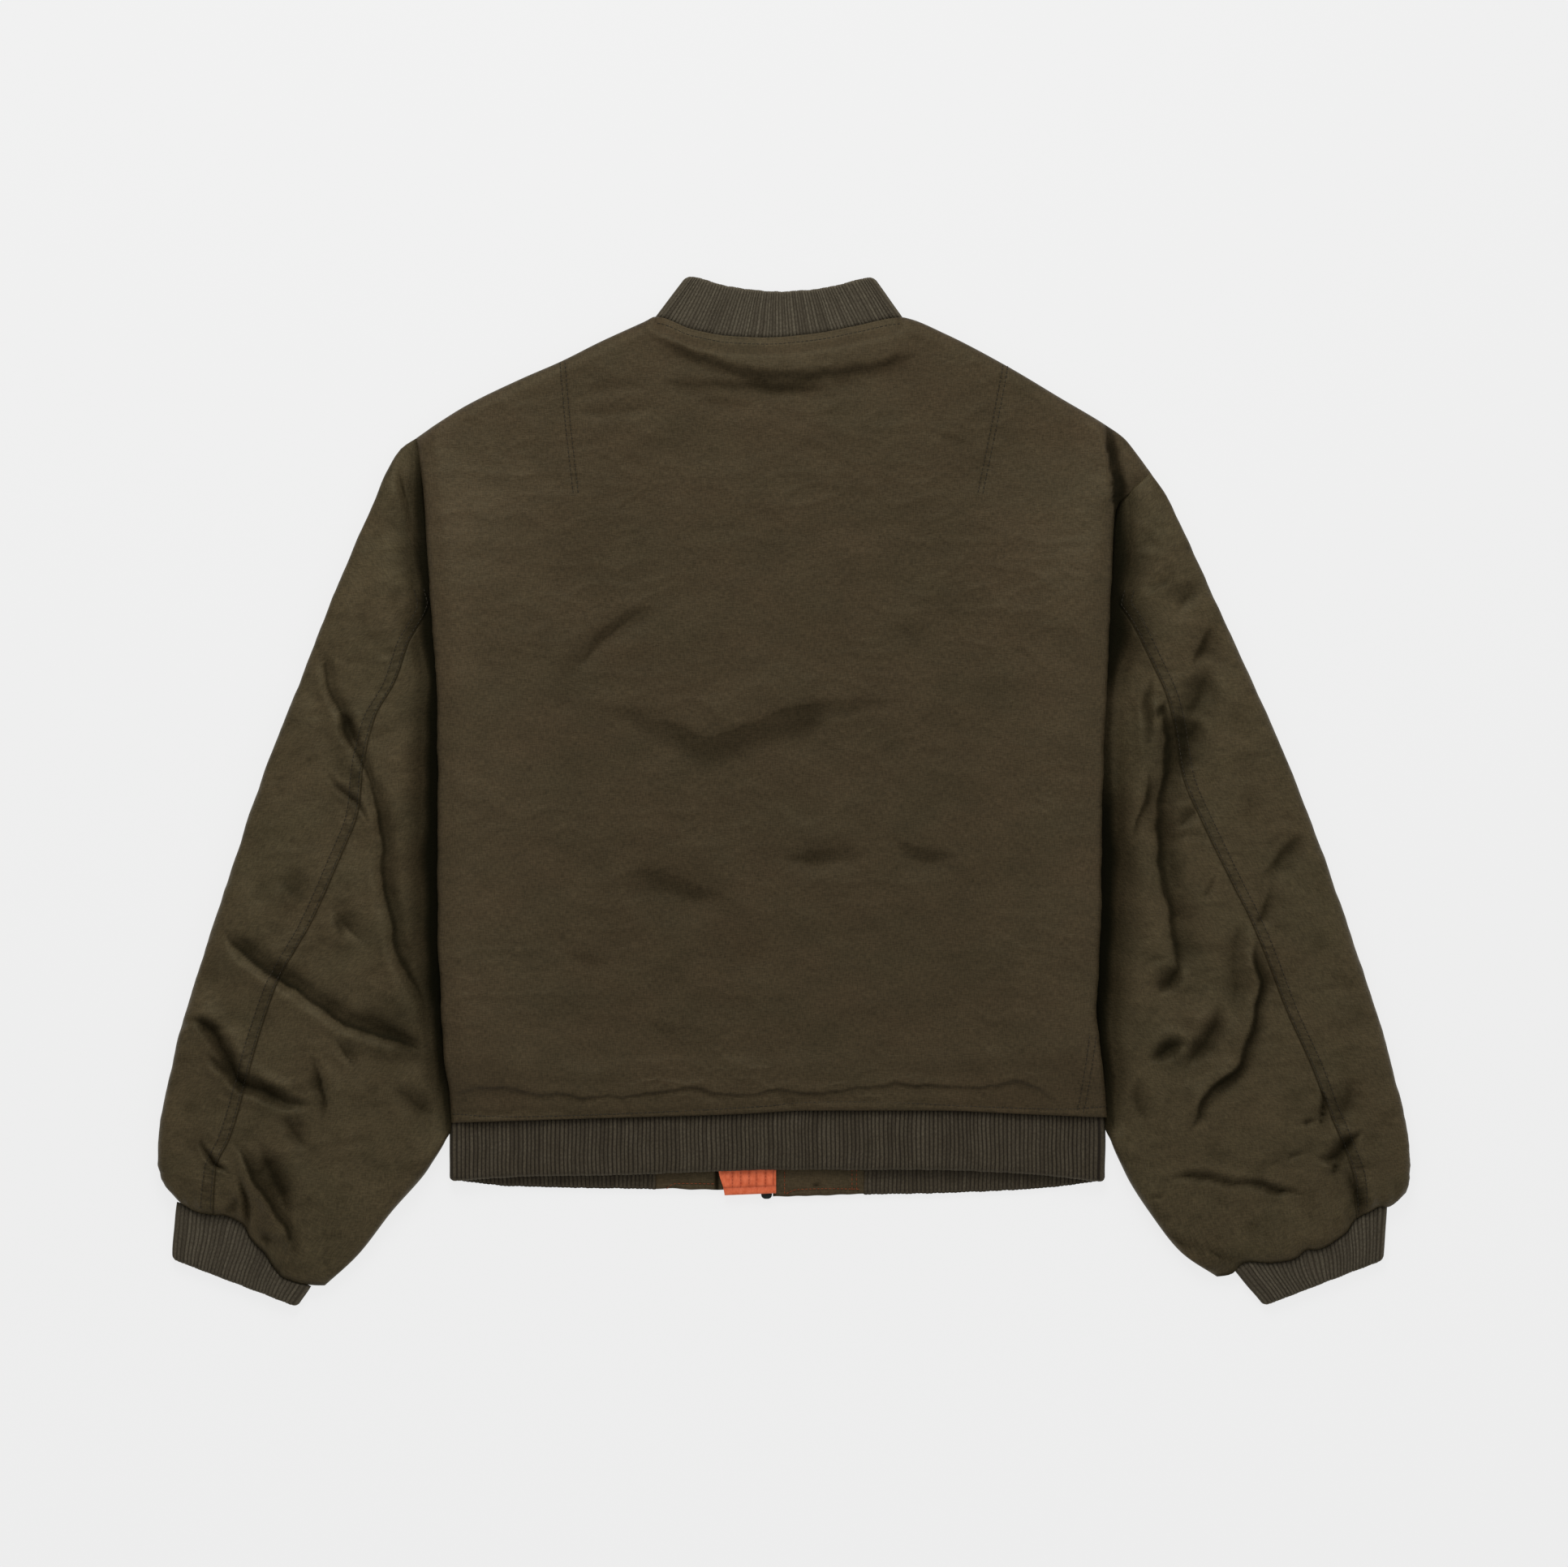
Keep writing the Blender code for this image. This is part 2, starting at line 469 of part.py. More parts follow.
# ---- sleeves ----------------------------------------------------------------------------------
class Sleeve:
    """Plan and heights of one flattened sleeve."""

    def __init__(self, rows, seam, bulge, folds, side):
        self.side = side
        self.folds = folds
        self.seam = smooth_curve(seam)
        self.bulge = smooth_curve(bulge)
        middles = [((r.outer_x + r.inner_x) / 2, (r.outer_y + r.inner_y) / 2) for r in rows]
        along = [0.0]
        for (ax, ay), (bx, by) in zip(middles, middles[1:]):
            along.append(along[-1] + math.hypot(bx - ax, by - ay))
        self.length = along[-1]
        fields = zip(*rows)
        self.outer_x, self.outer_y, self.inner_x, self.inner_y, self.crown = [
            smooth_curve(list(zip(along, field))) for field in fields]
        last = rows[-1]
        width = math.hypot(last.inner_x - last.outer_x, last.inner_y - last.outer_y)
        turn = 1 if side == "left" else -1
        self.end_normal = (turn * (last.inner_y - last.outer_y) / width,
                           turn * (last.outer_x - last.inner_x) / width)

    def width(self, along):
        return math.hypot(self.outer_x(along) - self.inner_x(along),
                          self.outer_y(along) - self.inner_y(along))

    def plan(self, along, share):
        """Plan point at a distance down the sleeve, a share of the way to its inner edge."""
        push = self.bulge(share) * ease((along - self.length) / SLEEVE_GATHER + 1)
        return (mix(self.outer_x(along), self.inner_x(along), share) + push * self.end_normal[0],
                mix(self.outer_y(along), self.inner_y(along), share) + push * self.end_normal[1])

    def edge_radius(self, along):
        return min(SLEEVE_EDGE, 0.3 * self.width(along))

    def seam_share(self, along):
        """Where the back seam crosses this line, kept clear of both rolled edges."""
        low, high = 0.0, 1.0
        turn = 1 if self.side == "left" else -1
        for _ in range(40):
            share = (low + high) / 2
            x, y = self.plan(along, share)
            if turn * (x - self.seam(y)) < 0:
                low = share
            else:
                high = share
        margin = 1.15 * self.edge_radius(along) / self.width(along)
        return clamp(share, margin, 1 - margin)

    def top(self, along, share):
        """Height of the upper layer inside the rolled edges."""
        x, y = self.plan(along, share)
        if self.side == "left":
            outside = left_edge(y) - x
        else:
            outside = x - right_fold(y)
        beside_body = ease((y + 300) / 70)
        valley = beside_body * (1 - ease(outside / SLEEVE_VALLEY))
        crown = mix(self.crown(along), min(self.crown(along), SLEEVE_TUCK_TOP), valley)
        arch = 0.9 + 0.1 * math.sin(math.pi * clamp(share))
        folds = fold_height(self.folds, x, y) * ease(outside / 25 + (1 - beside_body))
        ends = min(quarter_round(along, SLEEVE_HEAD_ROLL, 0.65),
                   quarter_round(self.length - along, SLEEVE_END_ROLL, 0.5))
        return max(SLEEVE_LEAST, (crown * arch + folds) * ends)

    def edge(self, along, angle, inner_side):
        """Outer and inner point of the rolled edge, at an angle above the horizontal."""
        radius = self.edge_radius(along)
        width = self.width(along)
        ends = []
        for reach, upper, lower in ((radius, None, 0.0), (SLEEVE_SLIT, SLEEVE_SLIT, None)):
            inset = radius - reach * math.cos(angle)
            share = inset / width
            if inner_side:
                share = 1 - share
            x, y = self.plan(along, share)
            if upper is None:
                full = self.top(along, 1 - radius / width if inner_side else radius / width)
                centre = min(SLEEVE_EDGE_HEIGHT, 0.55 * full)
                span = full - centre if angle > 0 else centre
                z = centre + span * math.sin(angle)
            else:
                z = SLEEVE_SPLIT + SLEEVE_SLIT * math.sin(angle)
            ends.append((x, y, z))
        return ends


def add_sleeve_piece(name, material, sleeve, inner_side):
    """One sleeve piece: from the back seam over the top, round one edge and back beneath."""
    stations = [0, 5, 14] + spaced(32, sleeve.length - 34, 22)
    stations += [sleeve.length - drop for drop in (18, 7, 0)]
    angles = [math.radians(a) for a in (60, 30, 0, -30, -60)]
    upper_steps = 6 if inner_side else 8
    front_seam = 0.5
    outer = []
    inner = []
    for along in stations:
        width = sleeve.width(along)
        gap = SEAM_GAP / 2 / width
        turn = sleeve.edge_radius(along) / width
        if inner_side:
            upper = spaced(sleeve.seam_share(along) + gap, 1 - turn, upper_steps)
            lower = spaced(1 - turn, front_seam + gap, 4)
        else:
            upper = spaced(sleeve.seam_share(along) - gap, turn, upper_steps)
            lower = spaced(turn, front_seam - gap, 4)
        line_outer = []
        line_inner = []
        for share in upper:
            x, y = sleeve.plan(along, share)
            line_outer.append((x, y, sleeve.top(along, share)))
            line_inner.append((x, y, SLEEVE_SPLIT + SLEEVE_SLIT))
        for angle in angles:
            point_outer, point_inner = sleeve.edge(along, angle, inner_side)
            line_outer.append(point_outer)
            line_inner.append(point_inner)
        for share in lower:
            x, y = sleeve.plan(along, share)
            line_outer.append((x, y, 0.0))
            line_inner.append((x, y, SLEEVE_SPLIT - SLEEVE_SLIT))
        outer.append(line_outer)
        inner.append(line_inner)
    keep = list(range(0, 20, 3)) + list(range(20, len(stations)))
    inner = [inner[i] for i in keep]
    add_wall(name, material, outer, inner, keep, range(len(outer[0])))


def add_sleeves(material):
    left = Sleeve(LEFT_SLEEVE, LEFT_SLEEVE_SEAM, LEFT_BULGE, LEFT_SLEEVE_FOLDS, "left")
    right = Sleeve(RIGHT_SLEEVE, RIGHT_SLEEVE_SEAM, RIGHT_BULGE, RIGHT_SLEEVE_FOLDS, "right")
    for sleeve in (left, right):
        name = "sleeve_" + sleeve.side
        add_sleeve_piece(name + "_top", material, sleeve, False)
        add_sleeve_piece(name + "_under", material, sleeve, True)
    return left, right


# ---- ribbed bands -----------------------------------------------------------------------------
Band = namedtuple("Band", "back_low back_high front_low front_high opening ribs inside across")


def plan_curve(rows):
    """A plan curve through (share, x, y) rows."""
    x_at = smooth_curve([(share, x) for share, x, y in rows])
    y_at = smooth_curve([(share, y) for share, x, y in rows])
    return lambda share: (x_at(share), y_at(share))


def add_band(name, material, band):
    """A doubled knit band folded flat: back layer on top, front layer beneath, ribs on top.

    Its opening is the (start, stop) share of the front that it leaves free, or None, and its
    side folds stand out along the direction across.
    """
    reach = RIB_WALL + band.inside / 2
    middle = reach
    columns = []

    def flat(share, upper, rib):
        sheet = (band.back_low, band.back_high) if upper else (band.front_low, band.front_high)
        sign = 1 if upper else -1
        ends = [edge(share) for edge in sheet]
        outer = [(x, y, middle + sign * reach + rib) for x, y in ends]
        inner = [(x, y, middle + sign * band.inside / 2) for x, y in ends]
        columns.append((outer, inner))

    def fold(share, angle):
        blend = (1 + math.sin(angle)) / 2
        side = 1 if share else -1
        outer = []
        inner = []
        for front, back in ((band.front_low, band.back_low), (band.front_high, band.back_high)):
            x, y = (mix(a, b, blend) for a, b in zip(front(share), back(share)))
            for points, radius in ((outer, reach), (inner, band.inside / 2)):
                push = side * radius * math.cos(angle)
                points.append((x + band.across[0] * push, y + band.across[1] * push,
                               middle + radius * math.sin(angle)))
        columns.append((outer, inner))

    steps = 2 * band.ribs
    angles = [math.radians(a) for a in (-60, -30, 0, 30, 60)]
    start, stop = band.opening or (0.5, 0.5)
    for share in spaced(start, 0, 5):
        flat(share, False, 0)
    for angle in angles:
        fold(0, angle)
    first_rib = len(columns)
    for k, share in enumerate(spaced(0, 1, steps)):
        flat(share, True, RIB_RELIEF if k % 2 else 0)
    last_rib = len(columns) - 1
    for angle in reversed(angles):
        fold(1, angle)
    for share in spaced(1, stop, 5)[:None if band.opening else -1]:
        flat(share, False, 0)
    keep = list(range(first_rib)) + list(range(first_rib, last_rib, 8))
    keep += list(range(last_rib, len(columns)))
    outer = [column[0] for column in columns]
    inner = [columns[i][1] for i in keep]
    add_wall(name, material, outer, inner, keep, (0, 1), closed=band.opening is None)


def add_hem(material):
    reach = RIB_WALL + (BACK_INSIDE - RIB_WALL) / 2
    left_x, right_x = HEM_SIDES[0] + reach, HEM_SIDES[1] - reach
    back_bottom = smooth_curve(HEM_BACK_BOTTOM)
    front_bottom = smooth_curve(HEM_FRONT_BOTTOM)

    def along(share):
        return mix(left_x, right_x, share)

    seam = SEAM_GAP
    opening = [(x - left_x) / (right_x - left_x) for x in HEM_OPENING]
    add_band("hem_rib", material, Band(
        back_low=lambda share: (along(share), back_bottom(along(share))),
        back_high=lambda share: (along(share), back_hem(along(share)) - seam),
        front_low=lambda share: (along(share), front_bottom(along(share))),
        front_high=lambda share: (along(share), front_hem(along(share)) - seam),
        opening=opening, ribs=HEM_RIBS, inside=BACK_INSIDE - RIB_WALL, across=(1, 0)))


def add_collar(material):
    def back_seam(share):
        x = mix(*COLLAR_SEAM_X, share)
        return x, back_top(x) + COLLAR_SEAM_GAP

    def front_seam(share):
        x = mix(*COLLAR_SEAM_X, share)
        to_back = ease(8 * abs(share - 0.5) - 3)
        return x, mix(front_top(x), back_top(x), to_back) + COLLAR_SEAM_GAP

    add_band("collar_rib", material, Band(
        back_seam, plan_curve(COLLAR_BACK_FREE), front_seam, plan_curve(COLLAR_FRONT_FREE),
        COLLAR_OPENING, COLLAR_RIBS, KNIT_INSIDE, (1, 0)))


def add_cuff(material, sleeve, cuff):
    """A cuff from the sleeve's gathered end to its own straight free edge."""
    def upper(share):
        x, y = sleeve.plan(sleeve.length, mix(cuff.seam_from, cuff.seam_to, share))
        return (x + CUFF_SEAM_GAP * sleeve.end_normal[0],
                y + CUFF_SEAM_GAP * sleeve.end_normal[1])

    def lower(share):
        return tuple(mix(a, b, share) for a, b in zip(cuff.free_start, cuff.free_stop))

    width = math.dist(cuff.free_start, cuff.free_stop)
    across = tuple((b - a) / width for a, b in zip(cuff.free_start, cuff.free_stop))
    add_band("cuff_" + sleeve.side, material, Band(lower, upper, lower, upper, None,
                                                   CUFF_RIBS, KNIT_INSIDE, across))


# ---- front fastening ---------------------------------------------------------------------------
def add_rings(name, material, rings):
    """A body through rings of points, closed at both ends."""
    points = [point for ring in rings for point in ring]
    count = len(rings[0])
    faces = [tuple(range(count)), tuple(range(len(points) - count, len(points)))]
    for first in range(0, len(points) - count, count):
        for k in range(count):
            after = (k + 1) % count
            faces.append((first + k, first + after, first + count + after, first + count + k))
    return add_solid(name, material, points, faces, smooth=False)


def add_extrusion(name, material, profile, y_low, y_high):
    """A straight piece along Y from a closed (x, z) profile."""
    rings = [[(x, y, z) for x, z in profile] for y in (y_low, y_high)]
    return add_rings(name, material, rings)


def add_plackets(material):
    """Plain cloth ends of the hem, on each side of the zip."""
    for placket in PLACKETS:
        outer = []
        inner = []
        for share in spaced(0, 1, 6):
            x = mix(placket.start, placket.stop, share)
            low = mix(placket.low_start, placket.low_stop, share)
            high = front_hem(x) - SEAM_GAP / 2
            heights = (low, low + PLACKET_ROLL, mix(low, high, 0.5), high)
            tops = (PLACKET_BEND, FRONT_WALL, FRONT_WALL, FRONT_WALL)
            bases = (PLACKET_UNDER, 0.0, 0.0, 0.0)
            outer.append([(x, y, z) for y, z in zip(heights, tops)])
            inner.append([(x, y, z) for y, z in zip(heights, bases)])
        add_wall("placket_" + placket.side, material, outer, inner, range(7), range(4))


def add_storm_flap(material):
    """Channel-quilted flap behind the zip, lying on the front's inner side."""
    rings = []
    for y, start in FLAP_SIDE:
        ring = [(start, y, FLAP_BASE), (FLAP_STOP, y, FLAP_BASE)]
        for k, x in enumerate(spaced(FLAP_STOP, start, 2 * FLAP_CHANNELS)):
            ring.append((x, y, FLAP_BASE + (FLAP_CREST if k % 2 else FLAP_SEAM)))
        rings.append(ring)
    add_rings("storm_flap", material, rings)


def add_zip(tape_material, metal):
    for side, sign in (("left", -1), ("right", 1)):
        shape = [(0, TEETH_LOW), (0, TAPE_HIGH), (TAPE_WIDTH, TAPE_HIGH), (TAPE_WIDTH, TAPE_LOW),
                 (TEETH_WIDTH, TAPE_LOW), (TEETH_WIDTH, TEETH_LOW)]
        profile = [(ZIP_X + sign * (SEAM_GAP / 2 + x), z) for x, z in shape]
        add_extrusion("zip_tape_" + side, tape_material, profile, ZIP_BOTTOM, TAPE_TOP)
    box_top = ZIP_BOTTOM - SEAM_GAP
    outline = [(ZIP_X + BOX_HALF, box_top), (ZIP_X - BOX_HALF, box_top)]
    for angle in (math.radians(a) for a in range(180, 361, 30)):
        outline.append((ZIP_X + BOX_HALF * math.cos(angle),
                        ZIP_BOX_END + BOX_NOSE * (1 + math.sin(angle))))
    rings = [[(x, y, z) for x, y in outline] for z in (BOX_LOW, TAPE_HIGH)]
    add_rings("zip_box", tape_material, rings)
    slider = [(ZIP_X + x, z) for x, z in SLIDER_SHAPE]
    add_extrusion("zip_slider", metal, slider, ZIP_TOP - SLIDER_LENGTH, ZIP_TOP)
    pull = [(ZIP_X + x, z) for x, z in PULL_SHAPE]
    add_extrusion("zip_pull", tape_material, pull, *PULL_ENDS)


def main():
    for existing in list(bpy.data.objects):
        bpy.data.objects.remove(existing)
    shell = make_material("olive_nylon_shell", (0.056, 0.042, 0.023), 0.55)
    rib = make_material("olive_rib_knit", (0.048, 0.040, 0.028), 0.85)
    orange = make_material("orange_quilted_nylon", (0.72, 0.13, 0.045), 0.5)
    tape = make_material("dark_zip_tape", (0.012, 0.02, 0.02), 0.6)
    metal = make_material("dull_nickel_slider", (0.4, 0.39, 0.36), 0.35, 1.0)
    add_body(shell)
    left, right = add_sleeves(shell)
    add_collar(rib)
    add_hem(rib)
    add_cuff(rib, left, LEFT_CUFF)
    add_cuff(rib, right, RIGHT_CUFF)
    add_plackets(shell)
    add_storm_flap(orange)
    add_zip(tape, metal)


main()
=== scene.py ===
"""Finish of the padded bomber jacket: cloth, rib knit, stitching, zip and a plain studio.

Metres, +Z up, back of the jacket up, collar towards +Y and the wearer's left at -X.
Plan tables and sizes are in millimetres, as in the part's own source, and MM turns them to metres.
"""
import math
from collections import namedtuple

import bmesh
import bpy
import numpy as np
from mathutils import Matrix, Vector


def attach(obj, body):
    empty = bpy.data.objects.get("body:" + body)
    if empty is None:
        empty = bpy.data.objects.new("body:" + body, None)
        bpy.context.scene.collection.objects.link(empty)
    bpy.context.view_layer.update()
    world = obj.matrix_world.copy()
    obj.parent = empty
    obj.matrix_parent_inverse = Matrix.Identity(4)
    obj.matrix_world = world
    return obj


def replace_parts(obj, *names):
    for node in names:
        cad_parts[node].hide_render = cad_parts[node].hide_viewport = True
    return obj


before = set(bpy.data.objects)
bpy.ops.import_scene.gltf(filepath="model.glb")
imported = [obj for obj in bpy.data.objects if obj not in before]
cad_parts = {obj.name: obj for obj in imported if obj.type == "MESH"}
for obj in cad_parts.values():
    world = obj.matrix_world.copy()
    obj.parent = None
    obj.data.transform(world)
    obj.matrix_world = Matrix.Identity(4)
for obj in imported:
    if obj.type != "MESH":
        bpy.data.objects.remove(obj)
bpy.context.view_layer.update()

MM = 0.001

# ---- sizes shared with the part's source, in millimetres -------------------------------------
# Heights are above the floor, and a ride is the body's lift onto a sleeve beside its edge.
SEAM_GAP = 0.3
FRONT_WALL = 4.2
BACK_INSIDE = 7.6
BACK_WALL = 9.5
RIB_WALL = 3.9
RIDE_HEIGHT = 13.6
RIDE_FLAT = 18.0
RIDE_END = 52.0
LEFT_RIDE_START = 236.0
RIGHT_RIDE_START = 226.0
RIDE_STOP = -254.0
RIDE_RAMP = 46.0
RIDE_RUN_OUT = 54.0
ARMHOLE_RAMP = 18.0
TOP_SLOPE = 0.85
FRONT_EDGE = 5.0
CLOSING_WIDTH = 16.0
SIDE_ROLL = 5.0
ARMHOLE_ROLL = 2.5
TOP_ROLL = 10.0
HEM_ROLL = 3.5
SHOULDER_THINNING = 3.5
SLEEVE_SPLIT = 7.0
SLEEVE_SLIT = 0.35
SLEEVE_TUCK_TOP = 12.2
SLEEVE_EDGE = 15.0
SLEEVE_EDGE_HEIGHT = 8.0
SLEEVE_LEAST = 8.9
SLEEVE_VALLEY = 45.0
SLEEVE_SNUG = 2.2
SLEEVE_GATHER = 90.0
SLEEVE_HEAD_ROLL = 14.0
SLEEVE_END_ROLL = 16.0
ZIP_X = -13.3
ZIP_SLOT = 4.8
ZIP_BOTTOM = -290.0
ZIP_BOX_END = -312.4
ZIP_TOP = 314.0
HEM_RIBS = 156
COLLAR_RIBS = 68
CUFF_RIBS = 34
FRONT_HEM_DROP = 13.0

LEFT_EDGE = [(268, -281), (224, -275), (179, -272), (104, -266.5), (71, -264.5), (-16, -264),
             (-110, -264), (-159, -261.5), (-207, -259), (-230, -255.5), (-254, -254.5)]
RIGHT_FOLD = [(276, 245), (234, 251), (198, 251.5), (166, 250), (97, 247), (-16, 242.5),
              (-84, 242), (-133, 240), (-162, 238.5), (-188, 240), (-210, 243), (-252, 247.5)]
RIGHT_ARMHOLE = [(242, 281), (226, 263), (217, 254)]
BACK_TOP = [(-283, 268), (-264, 281), (-243, 294), (-202, 314), (-170, 328), (-140, 343),
            (-106, 358.5), (-98.5, 362), (-69, 352), (-40, 347), (-14, 346), (23, 349),
            (55, 355), (90.5, 361.5), (95.5, 360.5), (123, 349), (169, 325), (211, 300),
            (246, 279), (260, 269), (269, 258), (281, 242)]
FRONT_NECK = [(-98.5, 362), (-84, 343), (-60, 328), (-30, 319), (-10, 317), (25, 320),
              (55, 329), (78, 344), (90.5, 361.5)]
BACK_HEM = [(-255, -254), (-163, -251), (-40, -247.5), (21, -244.5), (113, -244.5),
            (179, -247), (248, -250)]

SleeveRow = namedtuple("SleeveRow", "outer_x outer_y inner_x inner_y crown")
LEFT_SLEEVE = [SleeveRow(*row) for row in (
    (-283.4, 268.5, -280.0, 258.5, 11), (-292.5, 262, -278.9, 251, 12.5),
    (-303.5, 244, -277.1, 238, 14), (-311.5, 225, -275.2, 222, 15.5), (-319, 208, -272.9, 205, 17),
    (-341, 157, -258, 160, 19), (-370, 83, -246, 95, 20), (-399, 9, -244, 20, 21),
    (-424, -66, -244, -55, 22), (-448, -140, -251, -122, 23), (-463, -190, -259.8, -172, 23),
    (-470, -221, -257.4, -204, 23), (-474, -239, -255.9, -222, 23),
    (-476.5, -253, -255.6, -239, 22.5), (-478, -266, -255.9, -257, 22),
    (-478.4, -284, -271, -288, 21),
    (-476.6, -294, -300.2, -322.5, 20), (-473.5, -301, -326, -355.5, 18),
    (-469, -307, -351, -378.5, 16))]
RIGHT_SLEEVE = [SleeveRow(*row) for row in (
    (281.4, 241.6, 254.4, 216.6, 12), (293, 224, 250.9, 198, 15), (306, 197, 249.0, 177, 17),
    (324, 157, 240, 140, 19), (358, 83, 227, 75, 20), (390, 9, 223, 5, 21),
    (418, -66, 222, -60, 22), (443, -140, 230, -122, 23), (459, -190, 237.8, -172, 23),
    (467, -221, 241.2, -204, 22.5), (472, -239, 244.2, -222, 22), (474.8, -253, 246.4, -239, 21.5),
    (477, -265, 247.4, -257, 21), (478.3, -282, 260.5, -292, 20),
    (478.3, -291, 281.8, -326, 19), (477.7, -299.5, 304.5, -354, 17),
    (475.6, -307.5, 331, -371.8, 15))]
LEFT_SLEEVE_SEAM = [(257, -284), (205, -284), (146, -270), (113, -286), (84, -296), (55, -312),
                    (16, -321), (-13, -324), (-53, -339), (-100, -360), (-145, -385),
                    (-190, -401), (-224, -410), (-264, -422), (-289, -433), (-330, -436)]
RIGHT_SLEEVE_SEAM = [(216, 262), (177, 262), (156, 250), (126, 266), (100, 279), (71, 292),
                     (46, 298), (14, 303), (-29, 321), (-68, 340), (-100, 356), (-129, 368),
                     (-168, 383), (-210, 402), (-236, 412), (-268, 425), (-298, 435), (-340, 438)]
LEFT_BULGE = [(0, 0), (0.1, 3.2), (0.16, 3), (0.26, -1.5), (0.34, -7), (0.43, -8), (0.5, -2.5),
              (0.56, 0.5), (0.62, 2), (0.68, 6.5), (0.78, 11), (0.86, 9), (0.94, 4.5), (1, 0)]
RIGHT_BULGE = [(0, 0), (0.1, 4.5), (0.155, 1.5), (0.21, 2), (0.28, 3), (0.34, 9), (0.41, 11.5),
               (0.47, 12.6), (0.51, 11.8), (0.55, 8.5), (0.62, 11.3), (0.72, 7.8), (0.86, -1.5),
               (0.93, 2.5), (1, 0)]
# Shade beside the body's edges: (y, reach in mm, strength).
LEFT_VALLEY = [(-272, 3, 0), (-256, 10, 0.7), (-205, 19, 0.92), (-140, 26, 0.97), (-60, 29, 0.98),
               (30, 25, 0.97), (90, 20, 0.93), (150, 23, 0.92), (190, 23, 0.9), (225, 17, 0.85),
               (268, 5, 0.4)]
RIGHT_VALLEY = [(-272, 3, 0), (-250, 12, 0.8), (-180, 22, 0.95), (-90, 30, 0.98), (-20, 27, 0.96),
                (20, 17, 0.65), (65, 14, 0.55), (92, 26, 0.9), (132, 35, 0.93), (165, 34, 0.93),
                (195, 26, 0.92), (225, 18, 0.85), (270, 5, 0.4)]

# ---- creases --------------------------------------------------------------------------------
# A trough is a soft groove with puffed sides, a ridge is a soft crest, and a lap is a crest on
# the left of its path that drops steeply to the right of it. A fold is a softer lap whose painted
# shade fades out to the right. A shelf has a crisp edge along its path and a broad even painted
# shadow to the right of it, over little relief, and a fold edge is a shelf with a dark one and a
# higher crest. Troughs and laps get painted shade in them too.
Crease = namedtuple("Crease", "kind width depth path")
BACK_CREASES = [Crease(*row) for row in (
    ("lap", 9, 3.4, [(-102, 353), (-69, 336), (-37, 326), (-1, 321), (49, 324), (81, 330),
                     (104, 337)]),
    ("shelf", 13, 1.8, [(-52, 326), (-20, 316), (-1, 313), (24, 317), (40, 322)]),
    ("lap", 7, 1.5, [(-98, 315), (-66, 314), (-33, 313), (12, 310), (40, 311)]),
    ("trough", 5, 0.7, [(-160, 302), (-121, 306), (-100, 307)]),
    ("lap", 6, 0.9, [(-69, 302), (-40, 299), (-17, 294)]),
    ("trough", 4, 1.0, [(-163, 287), (-131, 288), (-95, 294)]),
    ("lap", 6, 0.9, [(114, 278), (148, 266)]),
    ("shelf", 11, 2.2, [(-92, 140), (-112, 132), (-128, 120), (-146, 105), (-158, 88)]),
    ("trough", 6, 1.7, [(-90, 137), (-128, 120), (-155, 99), (-166, 78), (-169, 44)]),
    ("shelf", 26, 3.0, [(-152, 67), (-128, 63), (-102, 57), (-75, 48), (-57, 41.5),
                        (-57, 41.5), (-40, 48), (-14, 57), (14, 65), (46, 70.5), (100, 69)]),
    ("ridge", 15, 1.0, [(-120, 76), (-60, 62), (-10, 74), (40, 86)]),
    ("lap", 10, 0.8, [(80, 128), (117, 126)]),
    ("trough", 14, 2.8, [(-128, -78), (-100, -76), (-70, -82), (-40, -92)]),
    ("shelf", 15, 1.8, [(-128, -66), (-108, -60), (-80, -66), (-52, -76), (-36, -88)]),
    ("shelf", 12, 2.4, [(-4, -50), (14, -46), (34, -45), (56, -44)]),
    ("trough", 7, 1.6, [(-14, -52), (12, -52), (40, -51), (70, -52)]),
    ("shelf", 14, 2.6, [(76, -30), (92, -38), (112, -44), (134, -50)]),
    ("trough", 8, 1.6, [(84, -42), (106, -52), (132, -60)]),
    ("trough", 12, 1.4, [(-75, -118), (-44, -119), (-6, -135)]),
    ("lap", 9, 1.0, [(-169, -117), (-130, -132)]), ("lap", 9, 1.0, [(-108, -170), (-72, -184)]),
    ("lap", 2.8, 1.5, [(-255, -230), (-224, -226), (-176, -231), (-131, -232), (-79, -227),
                       (-30, -230), (-7, -227), (16, -229), (78, -224), (140, -225), (179, -221),
                       (195, -226), (214, -242)]),
    ("trough", 2, 0.9, [(-252, -243), (-225, -246), (-190, -245), (-150, -244)]),
    ("trough", 2.4, 1.2, [(-6, -230), (3, -239), (10, -243)]),
    ("ridge", 12, 1.6, [(-235, -214), (-131, -217), (0, -214), (120, -210), (180, -206)]),
    ("fold edge", 13, 4.4, [(251, 150), (252, 196), (251, 220), (248.5, 244), (245, 272),
                           (236, 310)]))]
